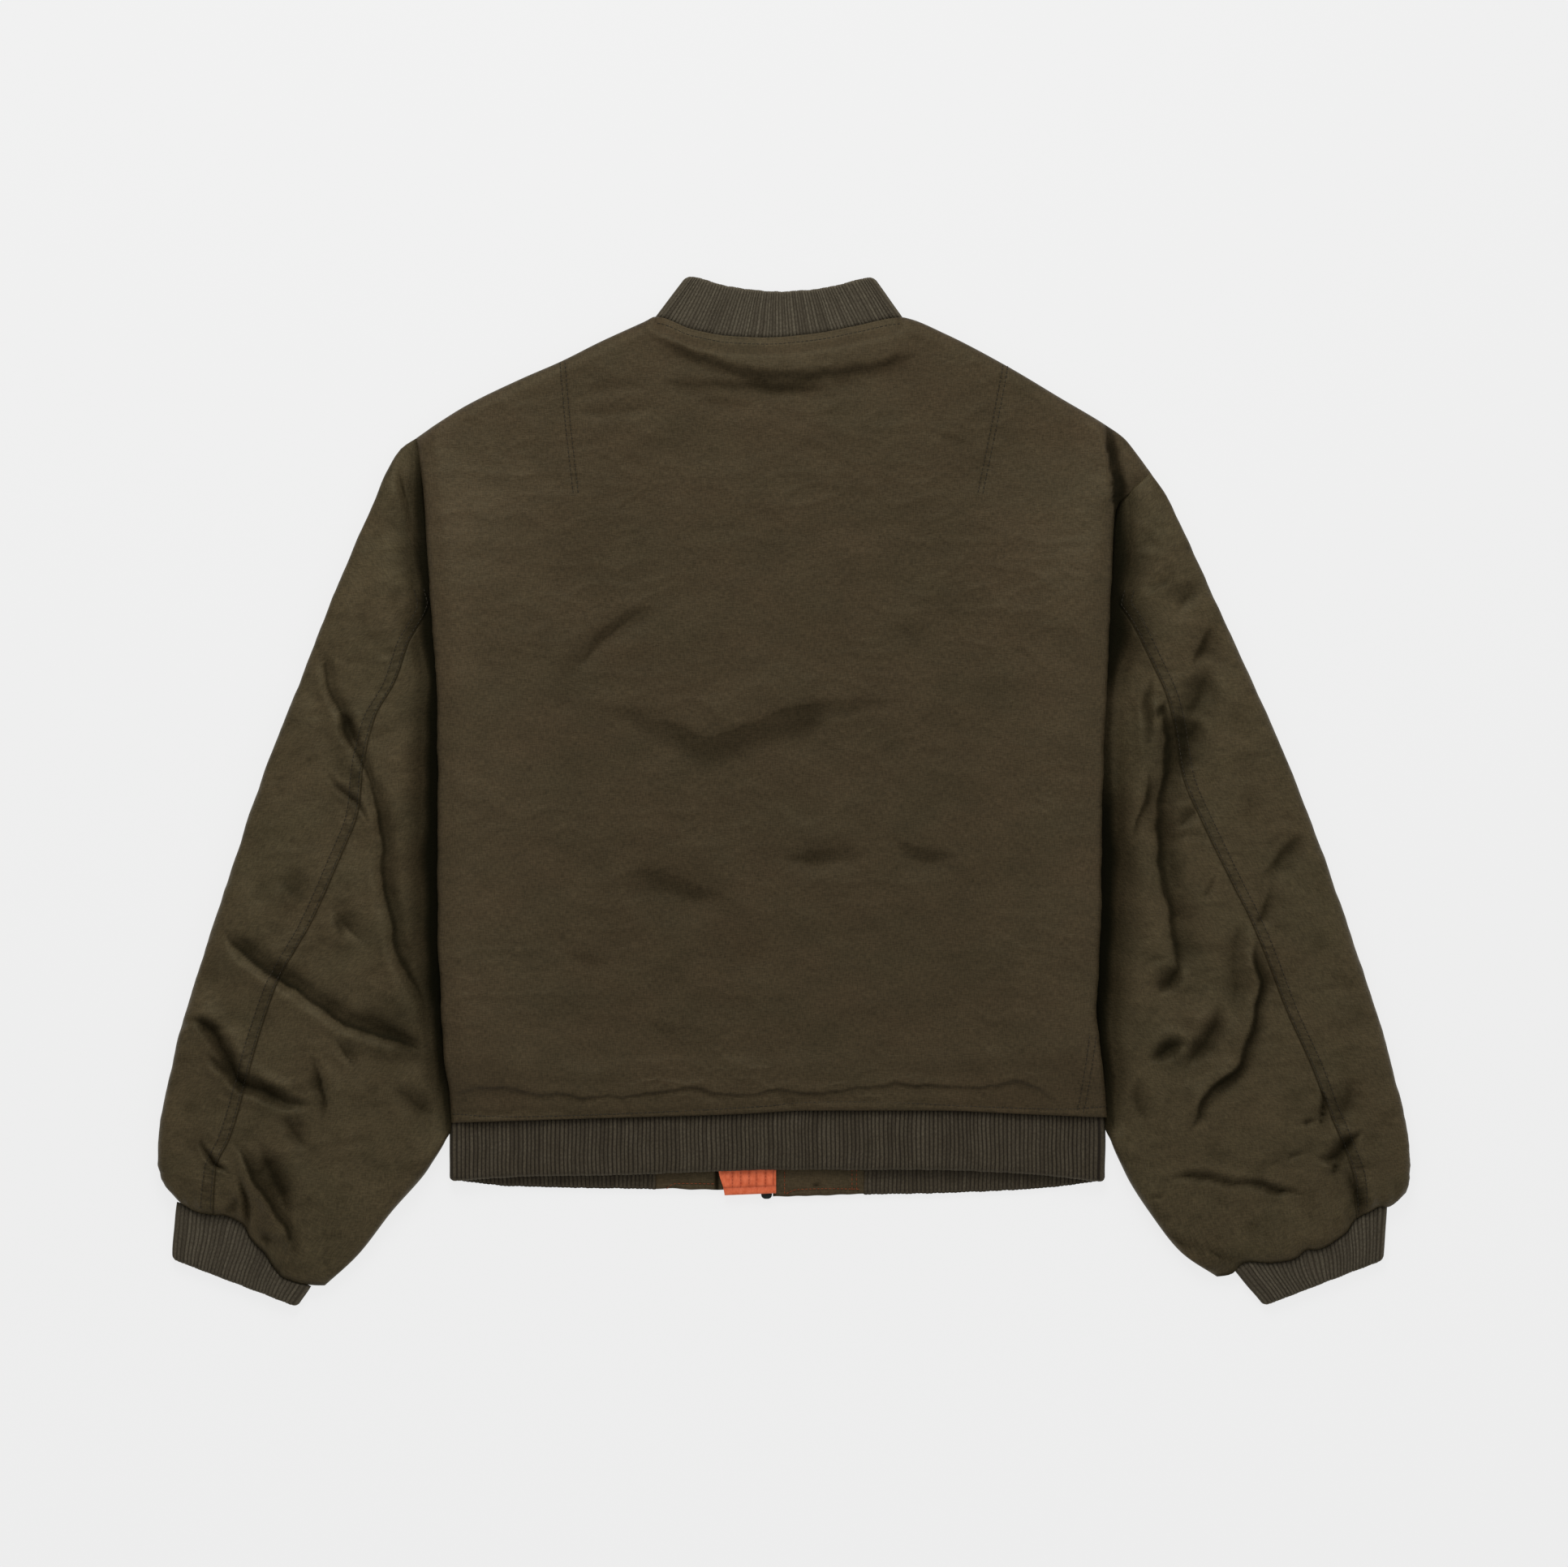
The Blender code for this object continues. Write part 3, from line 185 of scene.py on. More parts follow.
LEFT_SLEEVE_CREASES = [Crease(*row) for row in (
    ("fold", 3.6, 4.0, [(-270, 166), (-279, 198), (-288, 221), (-298, 252)]),
    ("fold", 3.2, 4.2, [(-312, -4), (-318.5, 13), (-330, 34.5), (-338.5, 56), (-347, 80),
                        (-357, 112)]),
    ("fold", 5.0, 7.0, [(-262, -182), (-268, -170), (-280, -153), (-291, -130), (-299, -104),
                        (-304, -80), (-305, -56), (-307, -32), (-312, -5), (-320, 14)]),
    ("trough", 3.5, 4.0, [(-340, 62), (-331, 46), (-322, 33)]),
    ("trough", 1.7, 2.4, [(-350, 16), (-341, 4), (-332, -6), (-324, -14), (-315, -28)]),
    ("lap", 8, 1.8, [(-364, -91), (-393, -68)]), ("lap", 7, 1.6, [(-335, -116), (-348, -91)]),
    ("fold", 5.0, 6.6, [(-268, -200), (-298, -190), (-317, -184), (-341, -174), (-361, -160),
                        (-374, -150), (-383, -145), (-404, -130), (-432, -106)]),
    ("trough", 12, 2.6, [(-330, -166), (-300, -184), (-272, -214)]),
    ("trough", 3.8, 6.6, [(-459, -172), (-452, -173.5), (-445, -176), (-437, -183), (-431, -193),
                          (-425, -204), (-420, -215), (-412, -223), (-402, -227), (-392, -233),
                          (-382, -237), (-371, -239.5), (-356, -240)]),
    ("trough", 2.4, 3.4, [(-439, -197), (-435, -207), (-428, -212), (-420, -216)]),
    ("fold", 4.2, 5.0, [(-361, -200), (-355, -218), (-349, -236), (-352, -256)]),
    ("trough", 4.6, 2.8, [(-386, -244), (-374, -258), (-360, -276)]),
    ("fold", 4.2, 3.4, [(-327, -216), (-334, -203), (-344, -185)]),
    ("fold", 5.0, 2.6, [(-316, -122), (-330, -106), (-346, -86)]),
    ("lap", 3.6, 4.6, [(-365, -360), (-374, -347), (-383, -332), (-391, -321.5), (-398.5, -306),
                       (-409, -289), (-417, -276), (-424, -262)]),
    ("trough", 6.0, 4.6, [(-404, -264), (-398, -278), (-390, -292), (-381, -312), (-376, -328)]),
    ("trough", 2.0, 3.2, [(-419, -282), (-414, -297), (-412, -310), (-411, -324), (-410, -340)]),
    ("trough", 1.8, 3.4, [(-444, -258), (-442, -274), (-438, -281.5), (-432, -286),
                          (-424, -290.5), (-415, -297)]),
    ("trough", 2.2, 3.0, [(-417, -308), (-421, -320), (-427, -324)]),
    ("trough", 2.4, 3.4, [(-388, -348), (-394, -344), (-400, -346)]),
    ("trough", 6, 3.4, [(-302, -222), (-284, -236), (-260, -252)]),
    ("trough", 1.2, 1.2, [(-474, -256), (-472.5, -276), (-470, -294), (-464, -307)]))]
RIGHT_SLEEVE_CREASES = [Crease(*row) for row in (
    ("fold", 7.5, 3.6, [(308, 92), (314, 104), (320, 116), (330, 132)]),
    ("trough", 8.0, 3.4, [(322, 96), (318, 78), (312, 62), (304, 46)]),
    ("trough", 4.5, 2.0, [(316, 166), (307, 146), (298, 134)]),
    ("lap", 3.0, 1.8, [(296, 158), (290, 154), (274, 146)]),
    ("trough", 6, 1.6, [(285, 198), (269, 182)]),
    ("trough", 5.0, 3.6, [(320, 56), (311, 45), (302, 36)]),
    ("fold", 7.0, 6.4, [(296, -146), (301, -128), (296, -103), (293, -87), (288, -66),
                        (286, -44), (286, -15), (290, 15), (291, 38), (290, 74)]),
    ("trough", 9, 2.6, [(304, 62), (302, 30), (300, 4)]),
    ("trough", 4.5, 4.4, [(304, -130), (296, -142), (284, -158)]),
    ("trough", 2.6, 3.0, [(281, 88), (277, 66), (279, 56), (278, 38), (277, 20)]),
    ("trough", 2.2, 2.4, [(291, 68), (287, 54)]),
    ("fold", 6.0, 3.6, [(262, -46), (270, -24), (277, -4), (279, 22)]),
    ("trough", 3.8, 2.6, [(315, -11), (308, -21), (300, -31)]),
    ("trough", 1.4, 1.6, [(331, -63), (324, -77), (317, -87)]),
    ("fold", 9, 2.8, [(362, -72), (378, -50), (400, -28)]),
    ("fold", 6.0, 3.2, [(356, -108), (366, -90), (374, -68)]),
    ("trough", 5.0, 2.4, [(346, -98), (344, -118), (344, -140), (344, -178)]),
    ("lap", 4.2, 6.0, [(304, -262), (313, -249), (317, -238.5), (327, -226), (341, -212),
                       (350, -199.5), (354, -180), (358, -164), (362, -150), (359, -134),
                       (357, -108)]),
    ("trough", 4.4, 5.0, [(333, -158), (327.5, -180), (319, -194), (311, -204), (301, -219)]),
    ("trough", 3.6, 4.8, [(310, -193), (297, -195), (288, -200), (276, -207.5)]),
    ("trough", 5.0, 2.0, [(272, -214), (270, -236), (276, -262)]),
    ("trough", 2.0, 3.6, [(407, -226), (412, -243), (409, -264)]),
    ("trough", 1.8, 2.0, [(407, -252.5), (393, -257)]),
    ("trough", 8, 2.4, [(436, -214), (428, -238), (424, -262)]),
    ("trough", 3.4, 5.0, [(442, -259), (428, -270.5), (417, -280), (404, -280)]),
    ("trough", 2.0, 3.0, [(420, -280), (418, -296)]),
    ("trough", 3.4, 3.6, [(426, -284), (432, -297), (438, -310), (440, -330)]),
    ("trough", 2.4, 3.2, [(288, -298), (308, -295.5), (323, -296), (334, -297.7), (347, -300),
                          (360, -302), (373, -304), (385, -306), (402, -309)]),
    ("trough", 1.4, 1.4, [(272, -309), (296, -310.5)]),
    ("lap", 3.0, 2.6, [(352, -361), (339, -358.6), (318, -353), (298, -344), (284, -330)]),
    ("trough", 2.0, 1.6, [(398, -276), (380, -282)]))]


# ---- small tools ------------------------------------------------------------------------------
def mix(a, b, t):
    return a + (b - a) * t


def ease(t):
    t = np.clip(t, 0.0, 1.0)
    return t * t * (3 - 2 * t)


def bell(distance, width):
    return np.exp(-(distance / width) ** 2)


def quarter_round(distance, radius, start):
    """Share of the full height at a distance from a rolled edge."""
    t = np.clip(distance / radius, 0.0, 1.0)
    return start + (1 - start) * np.sqrt(1 - (1 - t) ** 2)


def smooth_curve(rows):
    """A smooth function through (place, value) rows, which never overshoots them."""
    rows = sorted(rows)
    places = np.array([row[0] for row in rows], float)
    values = np.array([row[1] for row in rows], float)
    spans = np.diff(places)
    slopes = np.diff(values) / spans
    tangents = np.concatenate(([slopes[0]], np.zeros(len(rows) - 2), [slopes[-1]]))
    for k in range(1, len(rows) - 1):
        before, after = slopes[k - 1], slopes[k]
        if before * after > 0:
            weight_a = 2 * spans[k] + spans[k - 1]
            weight_b = spans[k] + 2 * spans[k - 1]
            tangents[k] = (weight_a + weight_b) / (weight_a / before + weight_b / after)

    def value_at(place):
        place = np.clip(place, places[0], places[-1])
        k = np.searchsorted(places[1:-1], place, side="left")
        t = (place - places[k]) / spans[k]
        rise = (1 + 2 * t) * (1 - t) ** 2 * values[k] + t * t * (3 - 2 * t) * values[k + 1]
        bend = t * (1 - t) ** 2 * tangents[k] - t * t * (1 - t) * tangents[k + 1]
        return rise + bend * spans[k]
    return value_at


def soft_noise(x, y, size, seed):
    """Smooth uneven heights from about -1 to 1, with bumps about one size across."""
    turns = np.random.default_rng(seed).uniform(0, 2 * math.pi, (64, 64))
    u, v = np.asarray(x / size, float), np.asarray(y / size, float)
    i, j = np.floor(u).astype(int), np.floor(v).astype(int)
    fu, fv = u - i, v - j

    def corner(di, dj):
        angle = turns[(i + di) % 64, (j + dj) % 64]
        return np.cos(angle) * (fu - di) + np.sin(angle) * (fv - dj)
    su = fu ** 3 * (fu * (6 * fu - 15) + 10)
    sv = fv ** 3 * (fv * (6 * fv - 15) + 10)
    low = mix(corner(0, 0), corner(1, 0), su)
    high = mix(corner(0, 1), corner(1, 1), su)
    return 1.5 * mix(low, high, sv)


def unevenness(x, y, layers, seed=0):
    """Sum of soft noises: (height, stretch of x, stretch of y, size, seed) for each layer."""
    return sum(height * soft_noise(x * across, y * along, size, seed + own)
               for height, across, along, size, own in layers)


def crinkle(x, y, size, seed):
    """Sharp little crests between smooth hollows, from 0 to about 1."""
    return np.maximum(0.0, 1 - 2.6 * np.abs(soft_noise(x, y, size, seed))) ** 2


PATH_STEP = 4.0


def smooth_path(path, step=PATH_STEP):
    """Points about a step apart on a round curve, with a corner where a point comes twice."""
    path = [np.array(p, float) for p in path]
    path = [2 * path[0] - path[1]] + path + [2 * path[-1] - path[-2]]
    points = []
    for a, b, c, d in zip(path, path[1:], path[2:], path[3:]):
        if np.array_equal(b, c):
            continue
        count = max(2, int(np.linalg.norm(c - b) / step))
        for t in np.arange(count) / count:
            points.append(0.5 * (2 * b + (c - a) * t + (2 * a - 5 * b + 4 * c - d) * t ** 2
                                 + (3 * b - a - 3 * c + d) * t ** 3))
    points.append(path[-2])
    return np.array(points)


def crease_profile(kind, u, width):
    """Height across a crease, for a depth of 1, and the painted shade that a place gets in it."""
    if kind == "trough":
        down = 0.9 * bell(u, 1.2 * width) + 0.1 * np.exp(-np.abs(u) / (0.6 * width))
        puffed = bell(np.abs(u) - 2.6 * width, 1.4 * width)
        return 0.3 * puffed - down, 0.35 * bell(u, 0.4 * width) + 0.45 * bell(u, 1.8 * width)
    if kind == "fold":
        puffed = bell(u - 1.6 * width, 1.6 * width)
        fade = 0.6 * bell(u, 0.5 * width) + 0.4 * bell(u, 2.1 * width)
        dark = np.where(u >= 0, bell(u, 0.25 * width), fade)
        return 0.4 * puffed - 0.7 * bell(u + 0.5 * width, 1.4 * width), 0.85 * dark
    if kind == "ridge":
        return bell(u, width), np.zeros_like(u)
    if kind in ("shelf", "fold edge"):
        sharp = kind == "fold edge"
        crest = bell(np.maximum(u, 0), 1.2 * width) * ease(u / 2.4 + 0.5)
        shadow = ease(-u / 1.6) * (1 - ease((-u / width - 0.5) / 0.6))
        return (0.8 if sharp else 0.2) * crest, shadow * (2.4 if sharp else 1.35)
    crest = bell(u, 2.4 * width)
    drop = 1.4 * bell(u, 0.6 * width) - 0.4 * bell(u, 2.6 * width)
    dark = 0.7 * bell(u + 0.5 * width, 0.45 * width) + 0.4 * bell(u + 1.2 * width, 1.1 * width)
    return np.where(u >= 0, crest, drop), np.where(u >= 0, dark * bell(u, 0.3 * width), dark)


def nearest_on_path(line, x, y):
    """Distance of each place from a line of points, the side it lies on, and the share along."""
    best = np.full(np.shape(x), 1e9)
    side, along = np.ones(np.shape(x)), np.zeros(np.shape(x))
    for k in range(len(line) - 1):
        (ax, ay), (bx, by) = line[k], line[k + 1]
        dx, dy = bx - ax, by - ay
        t = np.clip(((x - ax) * dx + (y - ay) * dy) / (dx * dx + dy * dy), 0, 1)
        gap = np.hypot(x - ax - t * dx, y - ay - t * dy)
        closer = gap < best
        best = np.where(closer, gap, best)
        side = np.where(closer, np.sign(dx * (y - ay) - dy * (x - ax)), side)
        along = np.where(closer, (k + t) / (len(line) - 1), along)
    return best, side, along


def crease_heights(creases, x, y, seed):
    """Sum of all creases at each place, and the painted shade that each place gets from them."""
    total, depth = np.zeros_like(x), np.zeros_like(x)
    wx, wy = [place + 2.4 * soft_noise(x, y, 24, seed + k)
              + 0.8 * soft_noise(x, y, 8, seed + k + 1) for place, k in ((x, 0), (y, 2))]
    for number, crease in enumerate(creases):
        line = smooth_path(crease.path)
        reach = 4.5 * crease.width
        near = ((wx > line[:, 0].min() - reach) & (wx < line[:, 0].max() + reach)
                & (wy > line[:, 1].min() - reach) & (wy < line[:, 1].max() + reach))
        best, side, along = nearest_on_path(line, wx[near], wy[near])
        length = PATH_STEP * len(line)
        broad = crease.kind in ("shelf", "fold edge")
        ends = 0.4 if broad else min(0.42, 26 / length)
        taper = ease(along / ends) * ease((1 - along) / ends)
        uneven = 1 + 0.4 * soft_noise(along * length, along * 0 + 7 * number, 26, seed + 9)
        width = crease.width * mix(0.2 if broad else 0.4, 1, taper)
        taper = np.sqrt(taper) if broad else taper
        rise, down = crease_profile(crease.kind, best * side, width)
        total[near] += crease.depth * rise * taper * uneven
        # Painted shade from the crease.
        depth[near] += down * taper * uneven * min(1.0, crease.depth / 5.5)
    return total, depth


left_edge = smooth_curve(LEFT_EDGE)
right_fold = smooth_curve(RIGHT_FOLD)
right_edge = smooth_curve([row for row in RIGHT_FOLD if row[0] < 210] + RIGHT_ARMHOLE)
back_top = smooth_curve(BACK_TOP)
shoulders = [row for row in BACK_TOP if row[0] < FRONT_NECK[0][0] or row[0] > FRONT_NECK[-1][0]]
front_top = smooth_curve(shoulders + FRONT_NECK)
back_hem = smooth_curve(BACK_HEM)


def front_hem(x):
    return back_hem(x) - FRONT_HEM_DROP * np.maximum(0.0, 1 - (x / 252) ** 4)


def ride(x, y, end=RIDE_END, early=0.0, ramp=RIDE_RAMP):
    """Lift of the body where its side edges lie on the sleeves, down to nothing at its end."""
    inset_left = x - left_edge(y)
    inset_right = right_fold(y) - x
    lower_end = ease((y - RIDE_STOP) / RIDE_RUN_OUT)
    left = 1 - ease((inset_left - RIDE_FLAT) / (end - RIDE_FLAT))
    left = left * ease((LEFT_RIDE_START + early - y) / ramp)
    right = np.where(inset_right >= 0, 1 - ease((inset_right - RIDE_FLAT) / (end - RIDE_FLAT)),
                     1 - ease(-inset_right / ARMHOLE_RAMP))
    right = right * ease((RIGHT_RIDE_START + early - y) / ramp)
    return RIDE_HEIGHT * lower_end * np.where(inset_left < inset_right, left, right)


# ---- meshes -------------------------------------------------------------------------------
def hex_colour(code):
    """Linear colour of an sRGB hex code."""
    parts = [int(code[k:k + 2], 16) / 255 for k in (1, 3, 5)]
    return [c / 12.92 if c <= 0.04045 else ((c + 0.055) / 1.055) ** 2.4 for c in parts] + [1.0]


def add_object(name, data, place=(0, 0, 0), turn=(0, 0, 0)):
    made = bpy.data.objects.new(name, data)
    made.location = place
    made.rotation_euler = turn
    bpy.context.scene.collection.objects.link(made)
    return made


def add_piece(name, mesh, slot):
    """A piece of the jacket, which is all one body."""
    piece = add_object(name, mesh)
    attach(piece, "root")
    return piece


def new_piece(name, points, faces, material, uv, slot, marks=None, smooth=60):
    """A closed mesh from points in millimetres, with its faces turned outwards."""
    mesh = bpy.data.meshes.new(name)
    mesh.from_pydata((np.asarray(points) * MM).tolist(), [], faces)
    work = bmesh.new()
    work.from_mesh(mesh)
    bmesh.ops.recalc_face_normals(work, faces=work.faces)
    work.to_mesh(mesh)
    work.free()
    mesh.shade_smooth()
    mesh.set_sharp_from_angle(angle=math.radians(smooth))
    corners = np.empty(len(mesh.loops), int)
    mesh.loops.foreach_get("vertex_index", corners)
    layer = mesh.uv_layers.new(name="cloth")
    layer.data.foreach_set("uv", (np.asarray(uv) * MM)[corners].astype(np.float32).ravel())
    for mark, values in (marks or {}).items():
        attribute = mesh.attributes.new(mark, "FLOAT", "POINT")
        attribute.data.foreach_set("value", np.asarray(values, np.float32).ravel())
    mesh.materials.append(material)
    return add_piece(name, mesh, slot)


def rim_faces(outer, inner, keep):
    """Triangles between an edge of the outer grid and the coarser edge of the inner one."""
    faces = []
    for k, (start, stop) in enumerate(zip(keep, keep[1:])):
        half = (start + stop + 1) // 2
        for i in range(start, stop):
            near = inner[k] if i < half else inner[k + 1]
            faces.append((outer[i], outer[i + 1], near))
        faces.append((inner[k], inner[k + 1], outer[half]))
    return faces


def grid_faces(ids):
    quads = np.stack([ids[:-1, :-1], ids[1:, :-1], ids[1:, 1:], ids[:-1, 1:]], -1)
    return quads.reshape(-1, 4).tolist()


def new_wall(name, material, outer, inner, keep_across, keep_along, uv, marks, slot="shell",
             closed=False):
    """A wall between an outer grid of points and an inner one, of which some lines are kept."""
    across, along = outer.shape[:2]
    keep_across, keep_along = list(keep_across), list(keep_along)
    kept = np.ix_(keep_across, keep_along)
    inner = inner[kept]
    ids_outer = np.arange(across * along).reshape(across, along)
    ids_inner = across * along + np.arange(inner[..., 0].size).reshape(inner.shape[:2])
    points = np.concatenate([outer.reshape(-1, 3), inner.reshape(-1, 3)])
    uv = np.concatenate([uv.reshape(-1, 2), uv[kept].reshape(-1, 2)])
    marks = {mark: np.append(values, values[kept] if mark == "rib_height" else 0 * values[kept])
             for mark, values in marks.items()}
    if closed:
        keep_across.append(across)
        ids_outer = np.vstack([ids_outer, ids_outer[:1]])
        ids_inner = np.vstack([ids_inner, ids_inner[:1]])
    faces = grid_faces(ids_outer) + grid_faces(ids_inner)
    for j in (0, -1):
        faces += rim_faces(ids_outer[:, j].tolist(), ids_inner[:, j].tolist(), keep_across)
    if not closed:
        for i in (0, -1):
            faces += rim_faces(ids_outer[i].tolist(), ids_inner[i].tolist(), keep_along)
    return new_piece(name, points, faces, material, uv, slot, marks)


def thinned(count, step):
    """Every so many of a grid's lines, always with the first and the last."""
    return sorted(set(range(0, count, step)) | {count - 1})


# ---- materials ----------------------------------------------------------------------------
def add_node(tree, kind, inputs=None, **settings):
    """A node with its settings, and inputs fed by values, hex colours or other outputs."""
    node = tree.nodes.new(kind)
    for name, value in settings.items():
        setattr(node, name, value)
    for key, value in (inputs or {}).items():
        if isinstance(value, bpy.types.NodeSocket):
            tree.links.new(value, node.inputs[key])
        else:
            value = hex_colour(value) if isinstance(value, str) else value
            node.inputs[key].default_value = value
    return node


def start_material(name, place_from, roughness, **sockets):
    """A material, its tree, its shader with its constant values, and the places to draw on.

    Places are those of the cloth as it lies flat, or those of the object.
    """
    material = bpy.data.materials.new(name)
    material.use_nodes = True
    tree = material.node_tree
    shader = tree.nodes["Principled BSDF"]
    shader.inputs["Roughness"].default_value = roughness
    for key, value in sockets.items():
        value = hex_colour(value) if isinstance(value, str) else value
        shader.inputs[key.replace("_", " ").title().replace("Ior", "IOR")].default_value = value
    if place_from == "cloth":
        place = add_node(tree, "ShaderNodeUVMap", uv_map="cloth").outputs[0]
    else:
        place = add_node(tree, "ShaderNodeTexCoord").outputs["Object"]
    return material, tree, shader, place


def finish_shader(tree, shader, tone, height=None, relief=0.0):
    """Feed the shader its colour, and a bump with its relief in metres."""
    tree.links.new(tone, shader.inputs["Base Color"])
    if height:
        bump = add_node(tree, "ShaderNodeBump", {"Strength": 1.0, "Distance": relief,
                                                 "Height": height})
        tree.links.new(bump.outputs[0], shader.inputs["Normal"])


def stretched_noise(tree, place, scale, detail=2.0, roughness=0.5):
    """Noise with its own scale along each direction, in bumps to the metre."""
    spread = add_node(tree, "ShaderNodeMapping", {"Vector": place, "Scale": scale}).outputs[0]
    return add_node(tree, "ShaderNodeTexNoise", {"Vector": spread, "Scale": 1.0, "Detail": detail,
                                                 "Roughness": roughness}).outputs["Fac"]


def span(value, low=0.35, high=0.65, at_low=0, at_high=1):
    """Inputs of a Map Range node; low and high are those within which a noise mostly lies."""
    return {"Value": value, "From Min": low, "From Max": high, "To Min": at_low,
            "To Max": at_high}


def layered_tone(tree, tone, *layers):
    """A tone with others laid over it in turn, as (share, tone), or (share, factor, "MULTIPLY").

    A share or a factor is a plain value, another node's output or a span of one.
    """
    for share, over, *how in layers:
        share, over = [add_node(tree, "ShaderNodeMapRange", part).outputs[0]
                       if isinstance(part, dict) else part for part in (share, over)]
        tone = add_node(tree, "ShaderNodeMix", {0: share, 6: tone, 7: over}, data_type="RGBA",
                        blend_type=how[0] if how else "MIX").outputs[2]
    return tone


def make_nylon():
    # Flight nylon: a close satin-like twill, so a soft olive sheen on crests, and painted shade,
    # near black, in deep folds and beside the body's edges, which dims the sheen there too. It has
    # slubs and dyed threads that run both ways and clouds of lighter and darker cloth. Its threads
    # are 0.2 mm, too fine to show, so slubs are drawn 0.9 by 4.8 mm. Clouds are 20 to 30 mm and
    # patches of dye 50 to 70 mm. It puckers every 2.6 mm beside drawn seams, with painted shade in
    # the puckers, and faintly every 4 to 5 mm all over. The sleeves are painted a little lighter,
    # as if their loose cloth caught more light, and a little greener.
    material, tree, shader, place = start_material(
        "olive_flight_nylon_twill", "cloth", 0.55, specular_tint="#e8dcb4",
        sheen_tint="#b4a87e", sheen_weight=0.05, sheen_roughness=0.5)
    # Marks on the mesh: painted shade, painted light on the sleeves, and puckers beside seams.
    folded, loose, puckers_and_shade = [
        add_node(tree, "ShaderNodeAttribute", attribute_name=mark).outputs["Fac"]
        for mark in ("painted_shade", "sleeve_painted_light_and_tint", "puckers_and_shade")]
    upright = stretched_noise(tree, place, (1100, 210, 1))
    level = stretched_noise(tree, place, (240, 1100, 1))
    slubs = add_node(tree, "ShaderNodeMath", {0: upright, 1: level}, operation="ADD").outputs[0]
    patches = stretched_noise(tree, place, (14, 20, 1), 3.0)
    clouds = stretched_noise(tree, place, (34, 46, 1), 4.0, 0.6)
    # Seam puckers, which raise bumps and darken the colour along them with painted shade.
    drawn = stretched_noise(tree, place, (110, 380, 1))
    drawn = add_node(tree, "ShaderNodeMath", {0: drawn, 1: puckers_and_shade},
                     operation="MULTIPLY").outputs[0]
    # Painted shade darkens the cloth to near black in folds and beside the body's edges.
    tone = layered_tone(tree, "#423626", (span(patches), "#3f3525"),
                        (1.0, span(clouds, at_low=0.9, at_high=1.1), "MULTIPLY"),
                        (1.0, span(slubs, 0.75, 1.25, 0.68, 1.32), "MULTIPLY"),
                        # Painted light: the sleeves a little lighter, and a little greener.
                        (loose, (1.1, 1.16, 1.12, 1), "MULTIPLY"), (folded, "#080904"),
                        (span(drawn, 0.4, 0.65, 0, 0.3), "#14100b"))
    # Where shade is painted, the sheen is dimmed as well.
    gloss = add_node(tree, "ShaderNodeMapRange", span(folded, 0, 0.6, 0.36, 0.04)).outputs[0]
    tree.links.new(gloss, shader.inputs["Specular IOR Level"])
    puckers = stretched_noise(tree, place, (190, 240, 1), 3.0, 0.6)
    height = add_node(tree, "ShaderNodeMath", {0: slubs, 1: 0.2, 2: puckers},
                      operation="MULTIPLY_ADD").outputs[0]
    height = add_node(tree, "ShaderNodeMath", {0: drawn, 1: height}, operation="ADD").outputs[0]
    finish_shader(tree, shader, tone, height, 0.0005)
    return material


def make_knit():
    # Doubled rib knit: matte, crests greyer from their loose fibres, grooves brown and darkened
    # with painted shade, loops of 1.4 by 1.9 mm along each rib, drawn coarser than real ones so
    # that they show, no two ribs quite alike, a painted highlight along the rolled free edge, 2 mm
    # deep, and painted shade along the sewn edge. The collar and cuffs are paler than the hem.
    material, tree, shader, place = start_material(
        "olive_rib_knit", "cloth", 0.9, specular_ior_level=0.15, sheen_weight=0.12,
        sheen_roughness=0.6, sheen_tint="#a09880")
    folded, worn, rib_height = [
        add_node(tree, "ShaderNodeAttribute", attribute_name=mark).outputs["Fac"]
        for mark in ("painted_shade", "worn", "rib_height")]
    loops = stretched_noise(tree, place, (700, 520, 1))
    uneven = stretched_noise(tree, place, (250, 16, 1))
    fibres = stretched_noise(tree, place, (60, 60, 1), 3.0)
    crest = layered_tone(tree, "#504839", (span(fibres, 0.3, 0.7), "#5b5344"), (worn, "#625b4c"),
                         (span(uneven, at_high=0.55), "#332c22"),
                         (span(loops, at_high=0.45), "#282119"))
    # Grooves darkened with painted shade.
    groove = layered_tone(tree, "#221c15", (worn, "#40392d"))
    from_edge = add_node(tree, "ShaderNodeSeparateXYZ", {0: place}).outputs[1]
    tone = layered_tone(tree, groove, (rib_height, crest),
                        # Painted highlight along the rolled free edge, then painted shade along
                        # the sewn edge.
                        (span(from_edge, 0.0008, 0.0022, 0.3, 0), "#625a4b"),
                        (folded, "#0d0b08"))
    finish_shader(tree, shader, tone, loops, 0.0005)
    return material


def make_quilted_orange():
    # Orange quilted nylon: bright on the puffed channels, with painted shade beside the stitch
    # rows and in its folds, and little creases of 3 by 6 mm.
    material, tree, shader, place = start_material("orange_quilted_nylon", "cloth", 0.48,
                                                   specular_ior_level=0.3, sheen_weight=0.1)
    folded = add_node(tree, "ShaderNodeAttribute", attribute_name="painted_shade").outputs["Fac"]
    creases = stretched_noise(tree, place, (320, 160, 1), 3.0, 0.6)
    tone = layered_tone(tree, "#dc6236", (span(creases), "#f27a50"), (folded, "#8f3a20"))
    finish_shader(tree, shader, tone, creases, 0.0007)
    return material


